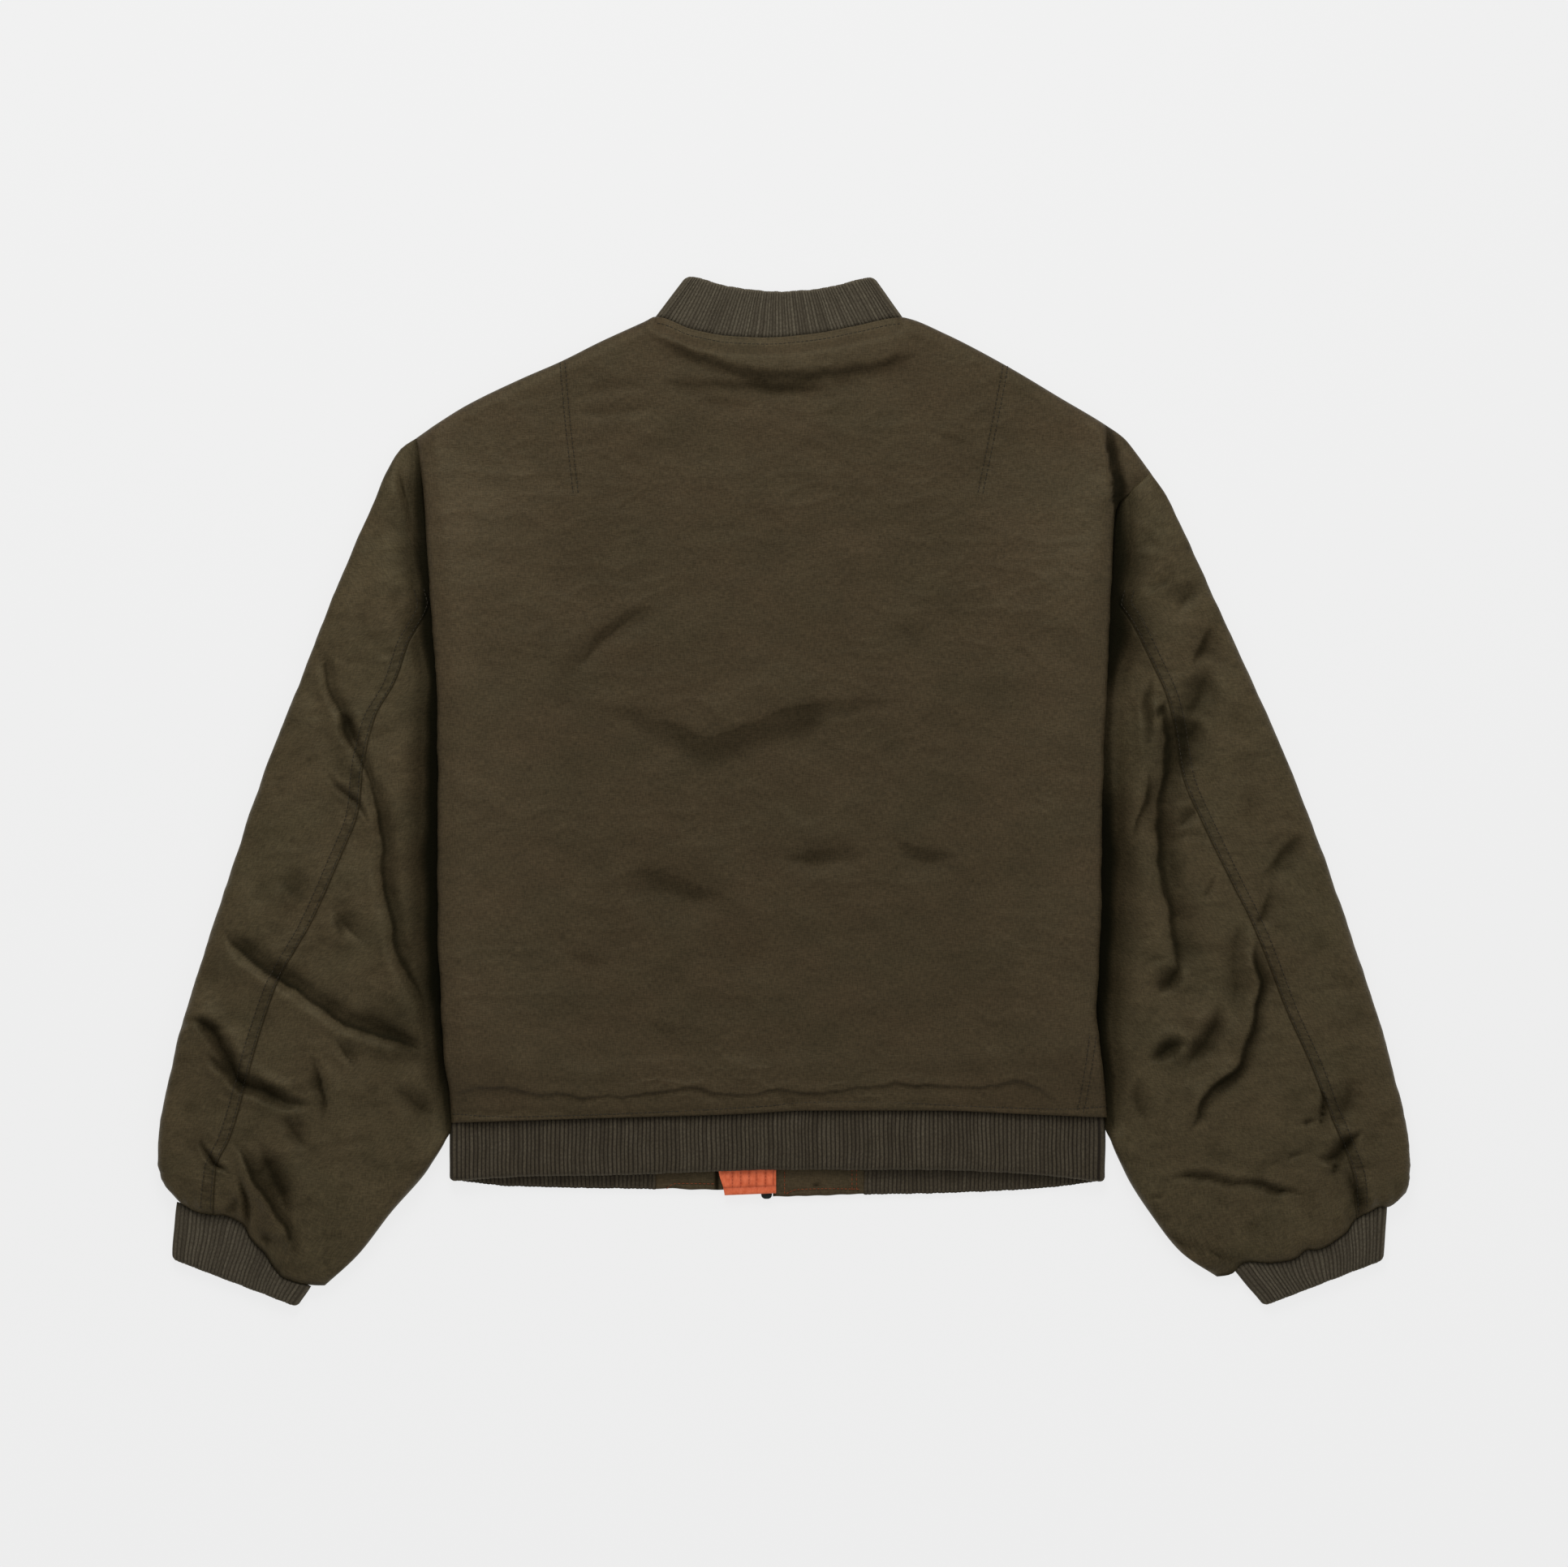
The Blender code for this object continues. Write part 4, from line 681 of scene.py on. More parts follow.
def make_tape():
    # Dark zip tape in a close weave, nearly black with a green cast. Its threads are too fine
    # to show, so the weave is drawn 0.7 by 2 mm.
    material, tree, shader, place = start_material("woven_zip_tape", "cloth", 0.75,
                                                   specular_ior_level=0.25)
    weave = stretched_noise(tree, place, (1500, 500, 1))
    tone = layered_tone(tree, "#14191a", (span(weave), "#242b29"))
    finish_shader(tree, shader, tone, weave, 0.0003)
    return material


def make_thread(name, dark, light):
    # Core-spun sewing thread: a soft twist, 0.7 mm long, of darker and lighter fibres.
    material, tree, shader, place = start_material(name, "object", 0.6, specular_ior_level=0.25)
    twist = stretched_noise(tree, place, (1400, 1400, 1400))
    finish_shader(tree, shader, layered_tone(tree, dark, (span(twist), light)))
    return material


def make_nickel():
    # Cast zip metal under dull nickel, rubbed brighter in streaks of 1 by 5 mm.
    material, tree, shader, place = start_material("dull_nickel_zip_metal", "object", 0.35,
                                                   metallic=1.0)
    rubbed = stretched_noise(tree, place, (900, 200, 900), 3.0)
    rough = add_node(tree, "ShaderNodeMapRange", span(rubbed, 0.3, 0.7, 0.26, 0.48)).outputs[0]
    tree.links.new(rough, shader.inputs["Roughness"])
    tone = layered_tone(tree, "#8b867c", (span(rubbed), "#b4afa5"))
    finish_shader(tree, shader, tone, rubbed, 0.0001)
    return material


nylon = make_nylon()
knit = make_knit()
orange_quilt = make_quilted_orange()
tape_cloth = make_tape()
olive_thread = make_thread("olive_sewing_thread", "#221d14", "#3a3325")
rust_thread = make_thread("rust_sewing_thread", "#6d341b", "#8f4a28")
orange_thread = make_thread("orange_sewing_thread", "#a3432a", "#c25a38")
nickel = make_nickel()


# ---- back panel and fronts ----------------------------------------------------------------
NECK = (-98.5, 90.5)
FINE_EDGE = [0, 0.5, 1.2, 2.2, 3.6, 5.4, 7.4, 9.6, 12]
LEFT_DART = [(-169, 326), (-165, 281), (-159, 228)]
RIGHT_DART = [(169, 324), (161, 282), (150, 228)]
HEM_TOPSTITCH = [(-252, -247), (-208, -249), (-131, -247), (-66, -244), (-16, -241),
                 (19, -238), (81, -238), (140, -241), (211, -243), (246, -241)]
SIDE_SEAM = [(235, -188), (229, -230), (226, -244)]
# Each seam's path, with the width and depth that it draws into the cloth.
BACK_SEAMS = ((LEFT_DART, 1.3, 1.1), (RIGHT_DART, 1.3, 1.1), (HEM_TOPSTITCH, 1.5, 1.0),
              (SIDE_SEAM, 1.0, 0.6))
NECK_STITCH = 4.4                 # distance of the neck's stitches from its seam
# Layers of unevenness: height, stretch of x, stretch of y, size of a bump, seed.
BACK_LOFT = ((0.9, 1, 1.3, 62, 11), (0.42, 1, 1.4, 29, 12))
EDGE_SWAY = ((0.9, 1, 0, 26, 31), (0.4, 1, 0, 9, 32))
# The back's slope down from the sleeves beneath it: the higher of these shares of the lift,
# each with its reach from the side edge.
BACK_SLOPES = ((1.0, 70.0), (0.92, 120.0))


def body_plan(columns, rows, top, bottom):
    """Plan grid of a body panel: columns are ("left" | "middle" | "right" | "upright", value)."""
    kinds = np.array([kind for kind, value in columns])
    values = np.array([value for kind, value in columns], float)

    def x_at(y):
        left, right = left_edge(y), right_edge(y)
        across = mix(left + RIDE_END, right - RIDE_END, values)
        return np.select([kinds == "left", kinds == "middle", kinds == "right"],
                         [left + values, across, right - values], values)
    high = np.full(len(values), 300.0)
    low = np.full(len(values), -250.0)
    for _ in range(30):
        high = mix(high, top(x_at(high)), 0.6)
        low = bottom(x_at(low))
    y = mix(low[:, None], high[:, None], rows[None, :])
    x = np.stack([x_at(y[:, j]) for j in range(len(rows))], 1)
    return x, y


def graded_rows(count, ends):
    """Shares from 0 to 1, close together at both ends."""
    middle = np.linspace(ends[-1], 1 - ends[-1], count)
    return np.concatenate([ends[:-1], middle, 1 - np.array(ends[:-1])[::-1]])


def from_sides(x, y):
    """Distance of a place in the body from the nearer of its side edges."""
    return np.minimum(x - left_edge(y), right_edge(y) - x)


def edge_wobble(x, y, side):
    """Small sideways unevenness of a folded edge."""
    sway = unevenness(y, x, EDGE_SWAY)
    sleeves_under = ease((175 - y) / 20) * ease((y + 215) / 20)
    return sway * bell(side, 14) * sleeves_under


def back_heights(x, y):
    """Outer heights of the back, and its painted shade."""
    side = from_sides(x, y)
    down = (back_top(x) - y) * TOP_SLOPE
    neck = ease((x - NECK[0] + 4) / 12) * ease((NECK[1] + 4 - x) / 12)
    pressed = 0.3 + 0.2 * ease(down / 4) + 0.5 * ease((down - 4.5) / 9)
    pressed = pressed - 0.09 * bell(down - NECK_STITCH, 0.9)
    roll = mix(quarter_round(down, TOP_ROLL, 0.2), pressed, neck)
    armhole = ease((y - 205) / 12) * (right_edge(y) - x < x - left_edge(y))
    roll = np.minimum(roll, quarter_round(side, mix(SIDE_ROLL, ARMHOLE_ROLL, armhole),
                                          mix(0.3, 0.8, armhole)))
    roll = np.minimum(roll, quarter_round(y - back_hem(x), HEM_ROLL, 0.75))
    tip = ease((x - right_fold(y)) / 7) * ease((y - 205) / 15)
    folds, depth = crease_heights(BACK_CREASES, x, y, 100)
    folds = folds * ease(side / 10)
    loose = unevenness(x, y, BACK_LOFT)
    wrinkles = 0.5 * crinkle(x, y * 2.2, 38, 13) + 0.3 * crinkle(x * 1.4, y * 2.4, 17, 14)
    quiet = 0.35 + 0.65 * ease(0.5 + 1.6 * soft_noise(x, y, 95, 15))
    wall = BACK_WALL + folds + loose + wrinkles * quiet - SHOULDER_THINNING * tip
    seams = np.zeros_like(x)
    for path, width, drop in BACK_SEAMS:
        gap, _, along = nearest_on_path(smooth_path(path, 2 * PATH_STEP), x, y)
        pucker = soft_noise(along * 300, gap * 0, 5.5, 16) * bell(gap, 7) * 0.45
        seams += pucker - drop * bell(gap, width) * ease((1 - along) / 0.05)
    closing = ease(side / CLOSING_WIDTH)
    lift = np.maximum(*[share * ride(x, y, end, early=50.0, ramp=140.0)
                        for share, end in BACK_SLOPES])
    z = lift + mix(FRONT_WALL + SEAM_GAP, BACK_INSIDE, closing) + (wall + seams) * roll
    # Painted shade in the creases, a little over the middle so that the sides look lit, and along
    # the side edges below the shoulders.
    shade = np.clip(depth, 0, 2) * 0.42 + 0.1 * ease((side - 15) / 110)
    shade = np.maximum(shade, 0.25 * bell(side + 0.5, 1.3) * ease((230 - y) / 20))
    return z, np.clip(shade, 0, 0.85)


def make_back():
    insets = FINE_EDGE + list(np.arange(14.2, RIDE_END - 1, 2.25)) + [RIDE_END]
    columns = [("left", v) for v in insets]
    columns += [("middle", v) for v in np.linspace(0, 1, 214)[1:-1]]
    columns += [("right", v) for v in reversed(insets)]
    rows = graded_rows(262, [0, 0.001, 0.0025, 0.005, 0.0085, 0.0125, 0.017])
    rows = np.unique(np.concatenate([rows, np.linspace(0.017, 0.062, 36)]))
    x, y = body_plan(columns, rows, back_top, lambda px: back_hem(px) + SEAM_GAP / 2)
    side = from_sides(x, y)
    z, shade = back_heights(x, y)
    sway = edge_wobble(x, y, side)
    outer = np.stack([x + sway, y, z], -1)
    inset = np.maximum(0, np.minimum(side, (back_top(x) - y) * TOP_SLOPE))
    floor = ride(x, y) + mix(FRONT_WALL + SEAM_GAP, BACK_INSIDE, ease(inset / CLOSING_WIDTH))
    inner = np.stack([x + sway, y, floor], -1)
    across = sorted(set(thinned(len(columns), 5)) | set(range(9))
                    | set(range(len(columns) - 9, len(columns))))
    along = thinned(len(rows), 5)
    piece = new_wall("back_cloth", nylon, outer, inner, across, along, np.stack([x, y], -1),
                     {"painted_shade": shade})
    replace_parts(piece, "back_panel")


def make_front(side_name):
    insets = FINE_EDGE + list(np.arange(16, RIDE_END - 1, 4.5)) + [RIDE_END]
    if side_name == "left":
        stop = ZIP_X - ZIP_SLOT
        uprights = [*np.linspace(-212, stop - 2, 48), stop - 0.9, stop]
        columns = [("left", v) for v in insets] + [("upright", v) for v in uprights]
    else:
        stop = ZIP_X + ZIP_SLOT
        uprights = [stop, stop + 0.9, *np.linspace(stop + 2, 184, 46)]
        columns = [("upright", v) for v in uprights] + [("right", v) for v in reversed(insets)]
    rows = graded_rows(130, [0, 0.002, 0.005, 0.009, 0.014, 0.02])
    x, y = body_plan(columns, rows, front_top, lambda px: front_hem(px) + SEAM_GAP / 2)
    x = np.maximum.accumulate(x, 0)
    side = from_sides(x, y)
    down = (front_top(x) - y) * TOP_SLOPE
    inset = np.maximum(0, np.minimum(side, down))
    lift = ride(x, y)
    hollow = np.maximum(0, soft_noise(x * 1.6, y * 0.7, 46, 41)) * 1.5
    hollow = hollow + 0.5 * crinkle(x, y * 1.7, 30, 42) * ease(inset / 20)
    centre = np.abs(x - ZIP_X) - ZIP_SLOT
    seams = 0.9 * bell(centre - 7, 0.9) + 1.2 * bell(centre, 1.2)
    seams = seams + 0.9 * bell(y - front_hem(x) - 5, 1.0) + 1.3 * bell(y - front_hem(x), 1.5)
    low = lift + 0.7 * FRONT_WALL * (1 - quarter_round(inset, FRONT_EDGE, 0.0))
    low = low + (hollow + seams) * ease(inset / 6)
    low = np.minimum(low, lift + FRONT_WALL - 0.9)
    sway = edge_wobble(x, y, side)
    outer = np.stack([x + sway, y, low], -1)
    inner = np.stack([x + sway, y, lift + FRONT_WALL], -1)
    across, along = thinned(len(columns), 3), thinned(len(rows), 3)
    # Painted shade along the edges of the zip's slot.
    shade = np.clip(0.3 * bell(centre, 1.5), 0, 1)
    piece = new_wall(f"front_{side_name}_cloth", nylon, outer, inner, across, along,
                     np.stack([-x, y], -1), {"painted_shade": shade})
    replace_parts(piece, f"front_{side_name}")


# ---- sleeves --------------------------------------------------------------------------------
SLEEVE_ROW = -8.8                 # place of the second row of stitches beside the back seam
SEAM_TOP = 158.0                  # the back seam goes under the body above this y
SEAM_OPEN = 0.03                  # each of the two pieces ends this far from the seam's line
FREE_BELOW = -290.0               # the sleeves are clear of the body below this y
SLEEVE_LOFT = ((2.4, 1.3, 0.8, 54, 3), (1.0, 1.2, 0.9, 24, 4))
SLEEVE_SWAY = ((0.6, 1, 0, 21, 0), (0.2, 1, 0, 8, 1))


class Sleeve:
    """Plan and heights of one flattened sleeve."""

    def __init__(self, rows, seam, bulge, creases, side, seed):
        self.side = side
        self.turn = 1 if side == "left" else -1
        self.creases = creases
        self.seed = seed
        self.seam = smooth_curve(seam)
        self.bulge = smooth_curve(bulge)
        middles = [((r.outer_x + r.inner_x) / 2, (r.outer_y + r.inner_y) / 2) for r in rows]
        along = [0.0]
        for (ax, ay), (bx, by) in zip(middles, middles[1:]):
            along.append(along[-1] + math.hypot(bx - ax, by - ay))
        self.length = along[-1]
        fields = zip(*rows)
        self.outer_x, self.outer_y, self.inner_x, self.inner_y, self.crown = [
            smooth_curve(list(zip(along, field))) for field in fields]
        self.end_normal = self.normal(rows[-1], self.turn)
        self.head_normal = self.normal(rows[0], -self.turn)

    @staticmethod
    def normal(row, sign):
        """Direction of length 1 out of the sleeve, square to the line of one end."""
        dx, dy = row.inner_x - row.outer_x, row.inner_y - row.outer_y
        width = math.hypot(dx, dy)
        return sign * dy / width, -sign * dx / width

    def width(self, along):
        return np.hypot(self.outer_x(along) - self.inner_x(along),
                        self.outer_y(along) - self.inner_y(along))

    def plan(self, along, share):
        """Plan point at a distance down the sleeve, a share of the way to its inner edge."""
        push = self.bulge(share) * ease((along - self.length) / SLEEVE_GATHER + 1) ** 2
        uneven = unevenness(along, along, SLEEVE_SWAY, self.seed) * ease(along / 30)
        uneven = uneven * ease((self.length - along) / 30) * (1 - share)
        x = mix(self.outer_x(along), self.inner_x(along), share) + push * self.end_normal[0]
        y = mix(self.outer_y(along), self.inner_y(along), share) + push * self.end_normal[1]
        head = SLEEVE_SNUG * (1 - ease(along / 12))
        snug = SLEEVE_SNUG * ease((share - 0.6) / 0.4) * ease((y + 268) / 10) * ease(along / 12)
        return (x + self.turn * (snug - uneven) + head * self.head_normal[0],
                y + head * self.head_normal[1])

    def edge_radius(self, along):
        return np.minimum(SLEEVE_EDGE, 0.3 * self.width(along))

    def seam_share(self, along):
        """Where the back seam crosses each line, kept clear of both rolled edges."""
        low, high = np.zeros_like(along), np.ones_like(along)
        for _ in range(40):
            share = (low + high) / 2
            x, y = self.plan(along, share)
            before = self.turn * (x - self.seam(y)) < 0
            low = np.where(before, share, low)
            high = np.where(before, high, share)
        margin = 1.15 * self.edge_radius(along) / self.width(along)
        return np.clip(share, margin, 1 - margin)

    def outside(self, x, y):
        """Distance of a plan point from the body's side edge."""
        return left_edge(y) - x if self.side == "left" else x - right_fold(y)

    def valley_shade(self, x, y):
        """How dark the cloth lies in the deep shadow beside the body's edge."""
        rows = LEFT_VALLEY if self.side == "left" else RIGHT_VALLEY
        reach = smooth_curve([(row[0], row[1]) for row in rows])(y)
        most = smooth_curve([(row[0], row[2]) for row in rows])(y)
        reach = reach * (1 + 0.35 * soft_noise(y, y * 0, 34, 43))
        outside = self.outside(x, y)
        fade = 1 - ease((outside - 0.2 * reach) / (0.5 * reach))
        return most * np.maximum(fade, 0.55 * (1 - ease((outside - 0.3 * reach) / reach)))

    def top(self, along, share):
        """Height of the upper layer inside the rolled edges, with its folds, shade and puckers."""
        x, y = self.plan(along, share)
        outside = self.outside(x, y)
        beside = ease((y - FREE_BELOW) / 45)
        valley = beside * (1 - ease(outside / SLEEVE_VALLEY))
        tucked = np.maximum(SLEEVE_TUCK_TOP, ride(x, y) - 0.4)
        crown = mix(self.crown(along), np.minimum(self.crown(along), tucked), valley)
        arch = mix(0.9 + 0.1 * np.sin(math.pi * np.clip(share, 0, 1)), 1, valley)
        folds, depth = crease_heights(self.creases, x, y, self.seed + 20)
        folds = folds * mix(0.4, 1, ease((share * self.width(along) - 2) / 14))
        free = ease(outside / 20 + (1 - beside))
        loose = unevenness(x, y, SLEEVE_LOFT, self.seed)
        wrinkles = 0.25 * crinkle(x * 0.9, y * 1.3, 30, self.seed + 5)
        patch = ease(0.3 + 1.8 * soft_noise(x, y, 45, self.seed + 9))
        wrinkles = wrinkles + 0.4 * patch * soft_noise(x * 0.55, y * 1.9, 12, self.seed + 10)
        seam_gap = (share - self.seam_share(along)) * self.width(along)
        shown = ease((SEAM_TOP - y) / 12)
        band = shown * ease((seam_gap - SLEEVE_ROW + 1) / 2) * ease(-seam_gap)
        seam = -0.5 * bell(seam_gap, 0.8) - 0.35 * bell(seam_gap - SLEEVE_ROW, 0.9)
        drawn = soft_noise(along, seam_gap * 0.4, 5.5, self.seed + 7) * bell(seam_gap + 4, 9)
        to_cuff = self.length - along
        gathers = soft_noise(share * self.width(along), along * 0.22, 9, self.seed + 8)
        gathers = gathers * 2.6 * bell(np.maximum(0, to_cuff - 4), 24)
        ends = np.minimum(quarter_round(along, SLEEVE_HEAD_ROLL, 0.86),
                          quarter_round(to_cuff, SLEEVE_END_ROLL, 0.6))
        roll = beside * (1.8 * bell(outside - 28, 12) - 1.8 * bell(outside - 10, 6))
        detail = (folds + loose + wrinkles + gathers) * free + (0.55 * drawn + seam) * shown
        height = np.maximum(SLEEVE_LEAST - 0.6, (crown * arch + detail + roll) * ends)
        from_rim = np.minimum(share * self.width(along), outside + 40)
        # Painted shade in the creases, fainter near the outer rim.
        depth = 0.95 * (1 - np.exp(-1.9 * depth)) * mix(0.3, 1, ease((from_rim - 3) / 14))
        # Random patches of painted shade, standing in for the satin's uneven sheen.
        mottle = soft_noise(x + 0.5 * y, y * 1.7 - 0.3 * x, 26, self.seed + 14)
        mottle = mottle + 0.6 * soft_noise(x - 0.4 * y, y * 1.8, 11, self.seed + 15)
        depth = depth + 0.2 * ease(0.1 + 0.9 * mottle) * (1 - depth)
        # Painted shade beside the body's edges, along the cuff seam, in the back seam and over its
        # puckered band.
        shade = np.maximum(depth * free, self.valley_shade(x, y))
        shade = np.maximum(shade, 0.5 * bell(to_cuff, 1.8))
        shade = np.maximum(shade, shown * 0.5 * bell(seam_gap, 0.7)) + 0.1 * band
        return height, np.clip(shade, 0, 0.97), band


def joined(*coordinates):
    """One grid of points from the parts of each coordinate, side by side."""
    return np.stack([np.hstack(parts) for parts in coordinates], -1)


def sleeve_piece(sleeve, inner_side):
    """One sleeve piece: from the back seam over the top, round one edge and back beneath."""
    length = sleeve.length
    stations = np.concatenate([[0, 1.2, 3, 5.5, 9, 14], np.linspace(17, length - 18, 350),
                               length - np.array([15, 12, 9, 6.5, 4.2, 2.4, 1, 0])])
    along = stations[:, None]
    width = sleeve.width(along)
    radius = sleeve.edge_radius(along)
    rim = 1 - radius / width if inner_side else radius / width
    gap = (SEAM_OPEN if inner_side else -SEAM_OPEN) / width
    upper_t = np.concatenate([[0, 0.008, 0.02, 0.04], np.linspace(0.06, 1, 62)])[None, :]
    lower_t = np.linspace(0, 1, 26)[None, :]
    angles = np.radians(np.linspace(85, -85, 15))[None, :]
    # The upper layer.
    upper = mix(sleeve.seam_share(along) + gap, rim, upper_t)
    ux, uy = sleeve.plan(along, upper)
    uz, upper_shade, band = sleeve.top(along, upper)
    # The rolled edge, and the slit inside it.
    full = sleeve.top(along, rim)[0]
    centre = np.minimum(SLEEVE_EDGE_HEIGHT, 0.55 * full)
    fuller = np.where(angles > 0, 0.7, 1.0)
    edge, slit = [(radius - reach * np.cos(angles) ** fuller) / width
                  for reach in (radius, SLEEVE_SLIT)]
    if inner_side:
        edge, slit = 1 - edge, 1 - slit
    ex, ey = sleeve.plan(along, edge)
    over, edge_shade = sleeve.top(along, edge)[:2]
    over = mix(full, over, ease((angles - 0.2) / 1.2))
    span = np.where(angles > 0, over - centre, centre)
    ez = centre + span * np.sign(angles) * np.abs(np.sin(angles)) ** fuller
    sx, sy = sleeve.plan(along, slit)
    sz = SLEEVE_SPLIT + SLEEVE_SLIT * np.sin(angles) + 0 * sx
    # The lower layer.
    lower = mix(rim, 0.5 + gap, lower_t)
    lx, ly = sleeve.plan(along, lower)
    hollow = 1.4 * np.maximum(0, soft_noise(lx * 1.2, ly * 0.8, 40, sleeve.seed + 12))
    lz = hollow * np.sin(math.pi * lower_t) + 1.1 * bell((lower - 0.5) * width, 1.6)
    outer = joined((ux, ex, lx), (uy, ey, ly), (uz, ez, lz))
    inner = joined((ux, sx, lx), (uy, sy, ly), (0 * ux + SLEEVE_SPLIT + SLEEVE_SLIT, sz,
                                                0 * lx + SLEEVE_SPLIT - SLEEVE_SLIT))
    edge_shade = np.maximum(edge_shade * ease((np.sin(angles) + 0.2) / 0.8),
                            sleeve.valley_shade(ex, ey))
    shade = np.hstack([upper_shade, edge_shade, 0 * lx])
    puckers_and_shade = np.hstack([band, 0 * ex, 0 * lx])
    steps = np.diff(outer, axis=1)
    girth = np.hstack([0 * along, np.cumsum(np.linalg.norm(steps, axis=-1), axis=1)])
    uv = np.stack([girth + (0 if inner_side else 400), -along + 0 * girth], -1)
    across = sorted(set(thinned(stations.size, 5)) | set(range(5))
                    | set(range(stations.size - 8, stations.size)))
    turn, last = upper_t.size, upper_t.size + angles.size - 1
    around = sorted(set(thinned(turn, 5)) | set(range(turn, last + 1, 2))
                    | set(range(last + 1, outer.shape[1], 5)) | {outer.shape[1] - 1})
    which = "under" if inner_side else "top"
    piece = new_wall(f"sleeve_{sleeve.side}_{which}_cloth", nylon, outer, inner, across, around,
                     uv, {"painted_shade": shade, "puckers_and_shade": puckers_and_shade,
                          "sleeve_painted_light_and_tint": 1 + 0 * shade})
    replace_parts(piece, f"sleeve_{sleeve.side}_{which}")


# ---- ribbed bands ---------------------------------------------------------------------------
def plan_curve(rows):
    """A plan curve through (share, x, y) rows."""
    x_at = smooth_curve([(share, x) for share, x, y in rows])
    y_at = smooth_curve([(share, y) for share, x, y in rows])
    return lambda share: (x_at(share), y_at(share))


def edge_curve(start, stop, edge, rise=0.0):
    """A plan curve along an edge, from one x to another."""
    def point(share):
        x = mix(start, stop, share)
        return x, edge(x) + rise
    return point


# The last field says how much paler a band is than the hem.
Band = namedtuple("Band", "back_low back_high front_low front_high opening ribs inside across "
                          "bend worn")
RIB_STEPS = 8
RIB_RELIEF = 0.75
RIB_ROWS = np.array([0, 0.012, 0.035, 0.075, 0.13, 0.2, 0.3, 0.4, 0.5, 0.6, 0.7, 0.8, 0.88,
                     0.94, 0.975, 1])
BAND_CORNER = 3.6
THIN_INSIDE = 0.9                 # space inside the folded collar and cuffs


def rib_profile(phase):
    """Height of a broad rib at a phase from 0 to 1 across it, with a narrow groove."""
    return 1 - math.exp(-(min(phase, 1 - phase) / 0.15) ** 2)


